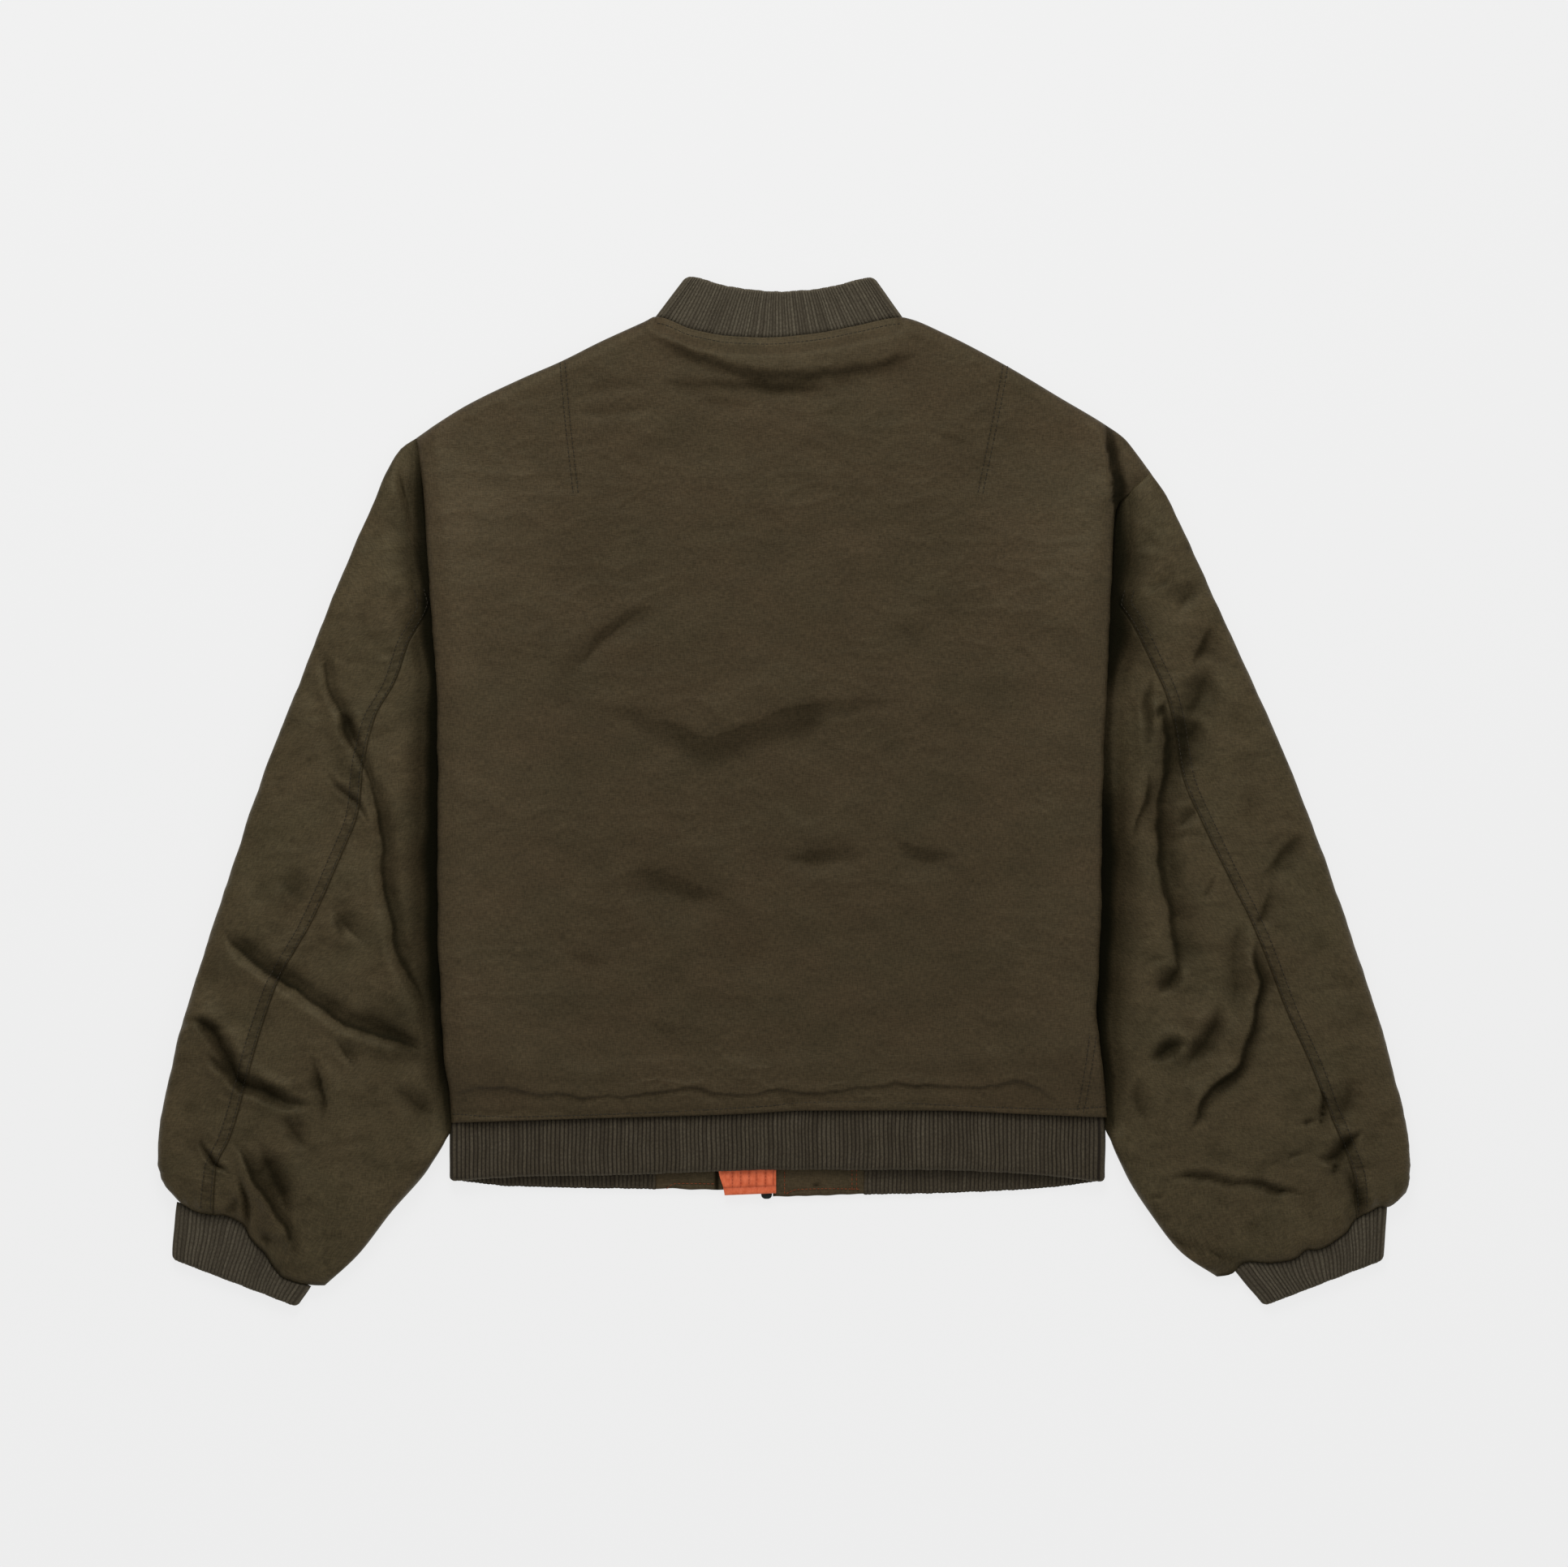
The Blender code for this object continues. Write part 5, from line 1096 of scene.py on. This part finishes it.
def make_band(name, band, seed, ribs_below=False):
    """A doubled knit band folded flat, with ribs, a rolled free edge and a sewn edge.

    Its low edge is the free one, and its side folds stand out along the direction across.
    """
    half_inside = band.inside / 2
    reach = RIB_WALL + half_inside
    rows = RIB_ROWS
    free_round = quarter_round(rows, 0.09, 0.12)
    sewn_dip = 1 - 0.3 * (1 - ease((1 - rows) / 0.06))
    body = np.minimum(free_round, sewn_dip)
    columns = []

    def stack_column(low, high, push, push_in, cut, outer_z, inner_z, rib):
        """One line of the band: plan ends, sideways pushes, and the cut of its free end."""
        low, high = np.array(low, float), np.array(high, float)
        length = np.linalg.norm(high - low)
        low = low + (high - low) * cut / length
        line = low + (high - low) * rows[:, None]
        across = np.array(band.across)
        bent = band.bend * soft_noise(line[:, 0], line[:, 1], 38, seed + 5)
        bent = bent * np.sin(math.pi * rows)
        outer = line + across * (push + bent)[:, None]
        inner = line + across * (push_in + bent)[:, None]
        columns.append((np.column_stack([outer, outer_z]), np.column_stack([inner, inner_z]),
                        rib + 0 * rows))

    def flat(share, upper, phase):
        low = (band.back_low if upper else band.front_low)(share)
        high = (band.back_high if upper else band.front_high)(share)
        rib = rib_profile(phase)
        relief = RIB_RELIEF * (rib - 0.35) * np.minimum(1, free_round * 1.2)
        sway = 0.35 * soft_noise(np.array(share * 500.0), np.array(0.0), 30, seed)
        if upper:
            outer_z = reach + half_inside + RIB_WALL * body + relief + sway
            inner_z = reach + half_inside + 0 * rows
        else:
            outer_z = reach - half_inside - RIB_WALL * body
            inner_z = reach - half_inside + 0 * rows
            if ribs_below:
                inner_z = inner_z - RIB_WALL * (1 - body) * 0.4 + 0.5 * relief - 0.45
        ragged = 0.35 * (0.6 - rib) + 0.35 * float(soft_noise(np.array(share * band.ribs),
                                                            np.array(1.0), 2.3, seed + 2))
        stack_column(low, high, 0.0, 0.0, ragged, outer_z, inner_z, rib)

    def fold(share, angle, phase):
        blend = (1 + math.sin(angle)) / 2
        side = 1 if share else -1
        rib = rib_profile(phase)
        low, high = [[mix(a, b, blend) for a, b in zip(front(share), back(share))]
                     for front, back in ((band.front_low, band.back_low),
                                         (band.front_high, band.back_high))]
        turn = min(1.0, reach * (1 - math.cos(angle)) / BAND_CORNER)
        cut = BAND_CORNER * (1 - math.sqrt(1 - (1 - turn) ** 2))
        outer_z = reach + (half_inside + RIB_WALL * body) * math.sin(angle)
        inner_z = reach + half_inside * math.sin(angle) + 0 * rows
        stack_column(low, high, side * (reach + 0.3 * (rib - 0.5)) * math.cos(angle),
                     side * half_inside * math.cos(angle), cut, outer_z, inner_z, rib)

    def front_run(start, stop):
        count = max(2, int(round(abs(stop - start) * band.ribs)))
        steps = RIB_STEPS if ribs_below else 4
        for k in range(count * steps + 1):
            flat(mix(start, stop, k / (count * steps)), False, (k % steps) / steps)

    angles = [math.radians(a) for a in (-75, -60, -45, -30, -15, 0, 15, 30, 45, 60, 75)]
    start, stop = band.opening or (0.5, 0.5)
    front_run(start, 0)
    for k, angle in enumerate(angles):
        fold(0, angle, (k % 4) / 4)
    first_rib = len(columns)
    for k in range(band.ribs * RIB_STEPS + 1):
        share = k / (band.ribs * RIB_STEPS)
        wander = 0.4 * float(soft_noise(np.array(share * band.ribs), np.array(3.0), 4, seed))
        flat(share, True, (k / RIB_STEPS + wander * math.sin(math.pi * share)) % 1)
    last_rib = len(columns) - 1
    for k, angle in enumerate(reversed(angles)):
        fold(1, angle, (k % 4) / 4)
    front_run(1, stop)
    if not band.opening:
        columns.pop()
    if ribs_below:
        keep = list(range(first_rib)) + list(range(first_rib, last_rib, 8))
        keep += list(range(last_rib, len(columns)))
        keep_rows = list(range(len(RIB_ROWS)))
    else:
        keep = thinned(len(columns), 6)
        if not band.opening:
            keep = keep[:-1] if keep[-1] - keep[-2] < 3 else keep
        keep_rows = [0, 4, 8, 12, len(RIB_ROWS) - 1]
    outer, inner, rib = [np.stack(parts) for parts in zip(*columns)]
    # Painted shade along the sewn edge.
    depth = 0.3 * bell(1 - rows, 0.02)[None, :] + 0 * rib
    steps = np.linalg.norm(np.diff(outer[:, 8, :], axis=0), axis=-1)
    girth = np.concatenate([[0], np.cumsum(steps)])[:, None]
    spread = np.linalg.norm(outer[:, -1] - outer[:, 0], axis=-1)[:, None] * rows[None, :]
    return new_wall(name, knit, outer, inner, keep, keep_rows,
                    np.stack([girth + 0 * spread, spread], -1),
                    {"rib_height": rib, "painted_shade": depth, "worn": band.worn + 0 * rib}, "rib",
                    band.opening is None)


def make_hem():
    reach = RIB_WALL + (BACK_INSIDE - RIB_WALL) / 2
    ends = left_x, right_x = -255.5 + reach, 245.2 - reach
    back_bottom = smooth_curve([(left_x, -298.5), (-195, -295), (-131, -294), (-7, -290),
                                (113, -290), (166, -292), (195, -294), (right_x, -299)])
    front_bottom = smooth_curve([(left_x, -298.5), (-211, -302.5), (-98, -305), (61, -309),
                                 (179, -305.5), (210, -303), (right_x, -299)])
    piece = make_band("hem_rib_knit", Band(
        back_low=edge_curve(*ends, back_bottom), back_high=edge_curve(*ends, back_hem, 0.5),
        front_low=edge_curve(*ends, front_bottom),
        front_high=edge_curve(*ends, front_hem, -SEAM_GAP),
        opening=[(x - left_x) / (right_x - left_x) for x in (-98, 61)], ribs=HEM_RIBS,
        inside=BACK_INSIDE - RIB_WALL, across=(1, 0), bend=1.3, worn=0.0), 51, ribs_below=True)
    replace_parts(piece, "hem_rib")


def make_collar():
    seam = SEAM_GAP / 2
    back_seam = edge_curve(-94.2, 86.4, back_top, seam)

    def front_seam(share):
        x = back_seam(share)[0]
        return x, mix(front_top(x), back_top(x), ease(8 * abs(share - 0.5) - 3)) + seam

    back_free = plan_curve([(0, -70.5, 393.0), (0.05, -65, 391.9), (0.17, -48, 386.6),
                            (0.33, -25, 383), (0.5, -4, 381.5), (0.68, 20, 382.8),
                            (0.85, 43, 387), (0.95, 59, 391.4), (1, 64.5, 392.4)])
    front_free = plan_curve([(0, -70.5, 393.0), (0.1, -60, 378), (0.25, -42, 364), (0.4, -24, 357),
                             (0.5, -10, 355), (0.62, 16, 358), (0.8, 40, 366), (0.92, 55, 378),
                             (1, 64.5, 392.4)])
    piece = make_band("collar_rib_knit", Band(
        back_free, back_seam, front_free, front_seam, opening=(0.475, 0.525), ribs=COLLAR_RIBS,
        inside=THIN_INSIDE, across=(1, 0), bend=0.5, worn=1.0), 52)
    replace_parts(piece, "collar_rib")


def make_cuff(sleeve, seam_from, seam_to, free_start, free_stop):
    """A cuff from the sleeve's gathered end to its own straight free edge."""
    seam = SEAM_GAP / 2

    def upper(share):
        x, y = sleeve.plan(sleeve.length, mix(seam_from, seam_to, share))
        return x + seam * sleeve.end_normal[0], y + seam * sleeve.end_normal[1]

    def lower(share):
        return tuple(mix(a, b, share) for a, b in zip(free_start, free_stop))

    width = math.hypot(free_stop[0] - free_start[0], free_stop[1] - free_start[1])
    across = tuple((b - a) / width for a, b in zip(free_start, free_stop))
    piece = make_band(f"cuff_{sleeve.side}_knit", Band(
        lower, upper, lower, upper, opening=None, ribs=CUFF_RIBS, inside=THIN_INSIDE,
        across=across, bend=2.2, worn=0.8), 53)
    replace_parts(piece, f"cuff_{sleeve.side}")


# ---- stitches -------------------------------------------------------------------------------
def grain_tree(name, material):
    """Geometry nodes that lay one small shape again and again along a curve."""
    tree = bpy.data.node_groups.new(name, "GeometryNodeTree")
    kinds = {"Geometry": "NodeSocketGeometry", "Pitch": "NodeSocketFloat",
             "Length": "NodeSocketFloat", "Radius": "NodeSocketFloat"}
    made = {label: tree.interface.new_socket(label, in_out="INPUT", socket_type=kind).identifier
            for label, kind in kinds.items()}
    tree.interface.new_socket("Geometry", in_out="OUTPUT", socket_type="NodeSocketGeometry")
    given = add_node(tree, "NodeGroupInput").outputs
    points = add_node(tree, "GeometryNodeCurveToPoints", {
        "Curve": given["Geometry"], "Length": given["Pitch"]}, mode="LENGTH").outputs
    grain = add_node(tree, "GeometryNodeMeshUVSphere", {"Segments": 6, "Rings": 5, "Radius": 1.0})
    half = add_node(tree, "ShaderNodeMath", {0: given["Length"], 1: 0.5}, operation="MULTIPLY")
    size = add_node(tree, "ShaderNodeCombineXYZ", {
        "X": given["Radius"], "Y": given["Radius"], "Z": half.outputs[0]})
    shaped = add_node(tree, "GeometryNodeTransform", {
        "Geometry": grain.outputs["Mesh"], "Scale": size.outputs[0]})
    laid = add_node(tree, "GeometryNodeInstanceOnPoints", {
        "Points": points["Points"], "Instance": shaped.outputs[0], "Rotation": points["Rotation"]})
    real = add_node(tree, "GeometryNodeRealizeInstances", {0: laid.outputs[0]})
    dressed = add_node(tree, "GeometryNodeSetMaterial", {"Material": material,
                                                         "Geometry": real.outputs[0]})
    add_node(tree, "NodeGroupOutput", {"Geometry": dressed.outputs[0]})
    return tree, made


Stitch = namedtuple("Stitch", "Pitch Length Radius")
TOPSTITCH = Stitch(3.4, 2.7, 0.34)
PLACKET_STITCH = Stitch(3.0, 2.4, 0.36)
QUILT_STITCH = Stitch(2.4, 1.3, 0.26)
ZIP_TOOTH = Stitch(2.8, 1.7, 1.15)


def stitch_lines(name, material, lines, stitch, slot):
    """Rows of stitches, each laid along its own line of points in millimetres."""
    curve = bpy.data.curves.new(name + "_lines", "CURVE")
    curve.dimensions = "3D"
    for line in lines:
        spline = curve.splines.new("POLY")
        spline.points.add(len(line) - 1)
        flat = [c for x, y, z in line for c in (x * MM, y * MM, z * MM, 1.0)]
        spline.points.foreach_set("co", flat)
    guide = add_object(name + "_guide", curve)
    tree, made = grain_tree(name + "_tree", material)
    modifier = guide.modifiers.new("stitches", "NODES")
    modifier.node_group = tree
    for label, size in stitch._asdict().items():
        modifier[made[label]] = size * MM
    evaluated = guide.evaluated_get(bpy.context.evaluated_depsgraph_get())
    mesh = bpy.data.meshes.new_from_object(evaluated)
    guide.modifiers.clear()
    bpy.data.objects.remove(guide)
    mesh.name = name
    mesh.shade_smooth()
    return add_piece(name, mesh, slot)


STITCH_LIFT = 0.25
SLEEVE_STITCH_LIFT = 0.3
BESIDE_SEAM = 1.9
BESIDE_SIDE_SEAM = 2.5


def on_back(path, sideways):
    """Points of a row of stitches on the back, a given distance to the left of a path."""
    line = smooth_path(path, 2.0)
    step = np.gradient(line, axis=0)
    step = step / np.linalg.norm(step, axis=1)[:, None]
    x = line[:, 0] - sideways * step[:, 1]
    y = line[:, 1] + sideways * step[:, 0]
    return np.stack([x, y, back_heights(x, y)[0] + STITCH_LIFT], -1)


def on_sleeve(sleeve, sideways, start, stop):
    """Points of a row of stitches beside a sleeve's back seam."""
    along = np.arange(start, sleeve.length - stop, 2.0)
    share = sleeve.seam_share(along) + sideways / sleeve.width(along)
    x, y = sleeve.plan(along, share)
    shown = (sleeve.outside(x, y) > -3) & (y < SEAM_TOP - 5)
    return np.stack([x, y, sleeve.top(along, share)[0] + SLEEVE_STITCH_LIFT], -1)[shown]


def make_stitches(left, right):
    neck_x = np.linspace(NECK[0] + 3, NECK[1] - 3, 90)
    neck_y = back_top(neck_x) - NECK_STITCH / TOP_SLOPE
    neck_z = back_heights(neck_x, neck_y)[0] + STITCH_LIFT
    lines = [np.stack([neck_x, neck_y, neck_z], -1)]
    lines += [on_back(path, sideways) for path, sideways in (
        (LEFT_DART, BESIDE_SEAM), (LEFT_DART, -BESIDE_SEAM), (RIGHT_DART, BESIDE_SEAM),
        (RIGHT_DART, -BESIDE_SEAM), (HEM_TOPSTITCH, 0.0), (SIDE_SEAM, BESIDE_SIDE_SEAM),
        (SIDE_SEAM, -BESIDE_SIDE_SEAM))]
    stitch_lines("body_topstitching", olive_thread, lines, TOPSTITCH, "shell")
    lines = [on_sleeve(sleeve, sideways, 20, 8) for sleeve in (left, right)
             for sideways in (SLEEVE_ROW, -BESIDE_SEAM)]
    stitch_lines("sleeve_topstitching", olive_thread, lines, TOPSTITCH, "shell")


# ---- front fastening --------------------------------------------------------------------------
# Side, x from and to, and the y of the lower edge at each.
PLACKETS = (("left", -98.7, ZIP_X - ZIP_SLOT, -304.5, -306.5),
            ("right", ZIP_X + ZIP_SLOT, 61.7, -311.0, -308.8))
FLAP_SLOT = -51.4
PLACKET_PUCKER = (24.8, -302)
PLACKET_HIGHEST = 4.9


def make_plackets():
    """Plain cloth ends of the hem on each side of the zip, with their rust stitching."""
    for side, start, stop, low_start, low_stop in PLACKETS:
        x = np.linspace(start, stop, 60)[:, None]
        t = np.concatenate([[0, 0.004, 0.012, 0.025, 0.045], np.linspace(0.07, 1, 36)])[None, :]
        low = mix(low_start, low_stop, (x - start) / (stop - start))
        low = low + 0.7 * soft_noise(x, x * 0, 13, 63)
        y = mix(low, front_hem(x) - SEAM_GAP / 2, t)
        x = x + 0 * y
        down = y - low
        side_gap = np.minimum(x - start, stop - x)
        roll = np.minimum(quarter_round(down, 2.0, 0.25), quarter_round(side_gap, 1.5, 0.4))
        puff = 0.4 * soft_noise(x, y, 13, 61) + 0.3 * crinkle(x, y, 12, 62)
        pucker = bell(np.hypot(x - PLACKET_PUCKER[0], 1.6 * (y - PLACKET_PUCKER[1])), 2.6)
        slot = bell(x - FLAP_SLOT, 1.5)
        groove = 0.5 * bell(down - 4.2, 0.8) + 1.0 * pucker + 1.2 * slot
        z = 2.0 + (FRONT_WALL - 2.0 + 0.4) * roll + (puff - groove) * ease(down / 2)
        outer = np.stack([x, y, np.minimum(z, PLACKET_HIGHEST)], -1)
        inner = np.stack([x, y, 1.4 * (1 - quarter_round(down, 2.0, 0.0))], -1)
        # Painted shade at the side ends, in the slot's groove under the storm flap, and in the
        # pucker.
        shade = np.maximum(0.3 * bell(side_gap, 1.0), 0.95 * slot)
        shade = np.maximum(shade, 0.6 * pucker)
        piece = new_wall(f"placket_{side}_cloth", nylon, outer, inner, thinned(60, 3),
                         thinned(t.size, 3), np.stack([x, y], -1), {"painted_shade": shade})
        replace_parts(piece, f"placket_{side}")
    rows = [smooth_path([(-89, -304), (-86, -301.6), (-80, -300.7), (-54.6, -300.9)], 2.0),
            smooth_path([(2.5, -308), (6, -306.4), (11, -305.2), (34, -304.6), (56.4, -305)], 2.0)]
    for x, low in ((0.4, -307.5), (52, -304.4), (55.5, -304.4)):
        rows.append(np.array([(x, y) for y in np.arange(low, -289, 2.0)]))
    lines = [np.column_stack([row, np.full(len(row), PLACKET_HIGHEST - 0.1)]) for row in rows]
    stitch_lines("placket_stitching", rust_thread, lines, PLACKET_STITCH, "shell")


FLAP_STOP, FLAP_BASE = -6.0, 5.4
FLAP_END = -309.6
FLAP_ROWS = (-39.4, -33.0, -26.7, -21.1, -14.1)
FLAP_BINDING = -8.2
FLAP_BAND = 5.6


def make_storm_flap():
    """Padded flap behind the zip, with faint rows of stitches above a folded end band."""
    t = np.concatenate([[0, 0.001, 0.0025, 0.005], np.linspace(0.008, 0.06, 34),
                        np.linspace(0.07, 1, 120)])[None, :]
    share = np.linspace(0, 1, 89)[:, None]
    end = FLAP_END + 1.6 * share
    y = mix(end, 300.0, t)
    start = -45.4 - 4.6 * ease((y - FLAP_END) / 20)
    x = mix(start, FLAP_STOP, share)
    above = y - end
    rows_shown = ease((above - FLAP_BAND) / 1.5)
    channel = 1 - sum(bell(x - row, 1.0) for row in FLAP_ROWS) * rows_shown
    fold = bell(above - FLAP_BAND, 0.7) + bell(x - FLAP_BINDING, 0.6) * rows_shown
    puff = 0.3 * soft_noise(x, y, 6, 71) + 0.25 * crinkle(x * 1.3, y, 9, 72)
    rim = np.minimum(quarter_round(above, 1.8, 0.2), quarter_round(FLAP_STOP - x, 1.2, 0.4))
    z = FLAP_BASE + 0.7 + (0.75 + 0.35 * channel + puff - 0.6 * fold) * rim
    outer = np.stack([x, y, z], -1)
    inner = np.stack([x, y, FLAP_BASE + 0 * z], -1)
    # Painted shade beside the stitch rows, in the binding fold and in the fold above the end band.
    shade = np.clip(0.35 * (1 - channel) + 0.6 * fold, 0, 1)
    piece = new_wall("storm_flap_quilt", orange_quilt, outer, inner, thinned(share.size, 5),
                     thinned(t.size, 6), np.stack([x, y], -1), {"painted_shade": shade}, "flap")
    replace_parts(piece, "storm_flap")
    along_y = np.arange(-302.6, -240.0, 2.0)
    rows = [np.stack([row + 0 * along_y, along_y, FLAP_BASE + 1.75 + 0 * along_y], -1)
            for row in FLAP_ROWS]
    stitch_lines("flap_quilt_stitching", orange_thread, rows, QUILT_STITCH, "flap")


def loft(name, material, rings, slot, smooth=40):
    """A closed body through rings of points, with both ends filled."""
    count = len(rings[0])
    points = [p for ring in rings for p in ring]
    faces = [tuple(range(count)), tuple(range(len(points) - count, len(points)))]
    for j in range(len(rings) - 1):
        for k in range(count):
            after = (k + 1) % count
            faces.append((j * count + k, j * count + after, (j + 1) * count + after,
                          (j + 1) * count + k))
    return new_piece(name, points, faces, material, [p[:2] for p in points], slot,
                     smooth=smooth)


# (distance from the centre line, height) round a tape with its tooth bed
TAPE_SECTION = ((0.0, 2.6), (0.0, 5.1), (0.5, 5.25), (2.0, 5.15), (7.0, 5.1), (12.8, 5.12),
                (13.5, 4.95), (13.5, 4.55), (12.8, 4.45), (7.0, 4.45), (2.6, 4.45), (2.3, 4.2),
                (2.3, 2.6), (1.6, 2.3), (0.6, 2.3))
TAPE_END = ZIP_TOP - 14


def make_zip():
    """The two tapes with their teeth."""
    for side, sign in (("left", -1), ("right", 1)):
        edge = ZIP_X + sign * SEAM_GAP / 2
        rings = [[(edge + sign * across, y, z) for across, z in TAPE_SECTION]
                 for y in np.linspace(ZIP_BOTTOM, TAPE_END, 150)]
        piece = loft(f"zip_tape_{side}_cloth", tape_cloth, rings, "zip_tape", 35)
        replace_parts(piece, f"zip_tape_{side}")
        row = np.array([(edge + sign * 1.0, y, 2.0) for y in (ZIP_BOTTOM + 4 + sign * 0.7,
                                                              TAPE_END - 2)])
        stitch_lines(f"zip_teeth_{side}", nickel, [row], ZIP_TOOTH, "slider")


CORNER_STEPS = 4


def rounded_ring(y, cz, half_x, half_z, corner):
    """A rounded rectangle across the zip, as a ring of points."""
    ring = []
    corner = min(corner, half_x * 0.98, half_z * 0.98)
    for quarter in range(4):
        for k in range(CORNER_STEPS + 1):
            angle = math.pi / 2 * (quarter + k / CORNER_STEPS)
            px = (half_x - corner) * (1 if quarter in (0, 3) else -1) + corner * math.cos(angle)
            pz = (half_z - corner) * (1 if quarter in (0, 1) else -1) + corner * math.sin(angle)
            ring.append((ZIP_X + px, y, cz + pz))
    return ring


# A small body's rings: (distance up from its lower end, half width, half height).
SmallBody = namedtuple("SmallBody", "node piece material slot low_end middle corner rings")
SMALL_BODIES = (
    SmallBody("zip_box", "zip_box_end", tape_cloth, "zip_tape", ZIP_BOX_END, 3.35, 0.9, (
        (0.0, 1.6, 0.9), (0.6, 2.9, 1.4), (1.6, 3.8, 1.7), (3.0, 4.2, 1.75), (22.0, 4.2, 1.75))),
    SmallBody("zip_slider", "zip_slider_body", nickel, "slider", ZIP_TOP - 13.7, 2.25, 0.8, (
        (0.0, 2.4, 1.3), (0.6, 3.2, 1.7), (3.0, 3.6, 1.9), (7.0, 4.1, 1.95), (11.0, 4.25, 1.9),
        (13.0, 3.8, 1.7), (13.7, 3.0, 1.2))),
    SmallBody("zip_pull", "zip_pull_tab", tape_cloth, "zip_tape", ZIP_TOP - 46, 0.9, 0.5, (
        (0.0, 1.5, 0.3), (0.8, 2.6, 0.6), (3.0, 3.0, 0.7), (27.0, 2.9, 0.68), (29.5, 2.4, 0.6),
        (31.2, 1.7, 0.45), (32.0, 0.9, 0.3))))


def make_small_bodies():
    """The moulded box at the zip's lower end, the slider at its upper end, and its pull."""
    for body in SMALL_BODIES:
        rings = [rounded_ring(body.low_end + up, body.middle, half_x, half_z, body.corner)
                 for up, half_x, half_z in body.rings]
        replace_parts(loft(body.piece, body.material, rings, body.slot), body.node)


# ---- studio -----------------------------------------------------------------------------------
FLOOR_HALF = 6.0
FLOOR_DROP = 0.0002               # keeps the floor just below the part
FLOOR_LIGHT = 0.785
PAINTED_SHADOW_MIDDLE_X = -0.01            # painted shadow: a rectangle of floor under the body that does not glow
PAINTED_SHADOW_HALF = (0.246, 0.262)
PAINTED_SHADOW_FADE = 0.008
ROOM_LIGHT = 0.42
WINDOW_PLACE = (-0.2, 1.4, 1.35)
WINDOW_SIZE, WINDOW_POWER = 1.0, 17.0
FILL_POWER, FILL_SPREAD, FILL_TURN = 0.35, 70, (-40, 0, -60)       # angles in degrees
CAMERA_PLACE = (0.0, 0.0053, 5.0)
CAMERA_REACH = 4.99               # down to the level at which the view is FRAME_WIDTH wide
FRAME_WIDTH = 1.1978
FILM_WIDTH = 36.0


def make_floor():
    # A pale table lit from below as well, which keeps the shadows on it faint. Under the body it
    # does not glow, a painted shadow that shows dark beneath the body's lifted edges.
    mesh = bpy.data.meshes.new("studio_floor")
    corners = ((-1, -1), (1, -1), (1, 1), (-1, 1))
    mesh.from_pydata([(FLOOR_HALF * x, FLOOR_HALF * y, -FLOOR_DROP) for x, y in corners], [],
                     [(0, 1, 2, 3)])
    material, tree, shader, place = start_material(
        "pale_lit_table", "object", 0.95, specular_ior_level=0.0, base_color="#585858",
        emission_color="#ffffff")
    place = add_node(tree, "ShaderNodeVectorMath", {0: place,
                                                    1: (-PAINTED_SHADOW_MIDDLE_X, 0, 0)}).outputs[0]
    place = add_node(tree, "ShaderNodeVectorMath", {0: place}, operation="ABSOLUTE").outputs[0]
    from_middle = add_node(tree, "ShaderNodeSeparateXYZ", {0: place}).outputs
    across, along = [add_node(tree, "ShaderNodeMapRange",
                              span(from_middle[k], half - PAINTED_SHADOW_FADE, half)).outputs[0]
                     for k, half in enumerate(PAINTED_SHADOW_HALF)]
    beyond = add_node(tree, "ShaderNodeMath", {0: across, 1: along}, operation="MAXIMUM")
    light = add_node(tree, "ShaderNodeMath", {0: beyond.outputs[0], 1: FLOOR_LIGHT},
                     operation="MULTIPLY")
    tree.links.new(light.outputs[0], shader.inputs["Emission Strength"])
    mesh.materials.append(material)
    add_object("studio_floor", mesh)


def make_studio():
    world = bpy.data.worlds.new("soft_room")
    world.use_nodes = True
    background = world.node_tree.nodes["Background"].inputs
    background[0].default_value = (1, 1, 1, 1)
    background[1].default_value = ROOM_LIGHT
    bpy.context.scene.world = world
    window = bpy.data.lights.new("window_light", "AREA")
    window.shape = "DISK"
    window.size = WINDOW_SIZE
    window.energy = WINDOW_POWER
    add_object("window_light", window, WINDOW_PLACE,
               Vector(WINDOW_PLACE).to_track_quat("Z", "Y").to_euler())
    fill = bpy.data.lights.new("fill_light", "SUN")
    fill.energy = FILL_POWER
    fill.angle = math.radians(FILL_SPREAD)
    add_object("fill_light", fill, turn=[math.radians(angle) for angle in FILL_TURN])
    camera = bpy.data.cameras.new("overhead_camera")
    camera.sensor_width = FILM_WIDTH
    camera.lens = FILM_WIDTH * CAMERA_REACH / FRAME_WIDTH
    bpy.context.scene.camera = add_object("overhead_camera", camera, CAMERA_PLACE)
    bpy.context.scene.view_settings.view_transform = "Standard"


def main():
    make_back()
    make_front("left")
    make_front("right")
    left = Sleeve(LEFT_SLEEVE, LEFT_SLEEVE_SEAM, LEFT_BULGE, LEFT_SLEEVE_CREASES, "left", 200)
    right = Sleeve(RIGHT_SLEEVE, RIGHT_SLEEVE_SEAM, RIGHT_BULGE, RIGHT_SLEEVE_CREASES, "right",
                   300)
    for sleeve in (left, right):
        sleeve_piece(sleeve, False)
        sleeve_piece(sleeve, True)
    make_collar()
    make_hem()
    make_cuff(left, 0.09, 0.905, (-463.9, -359.9), (-376.6, -393.4))
    make_cuff(right, 0.885, 0.135, (371.3, -392.6), (454.3, -360.6))
    make_stitches(left, right)
    make_plackets()
    make_storm_flap()
    make_zip()
    make_small_bodies()
    make_floor()
    make_studio()


main()
bpy.context.view_layer.update()
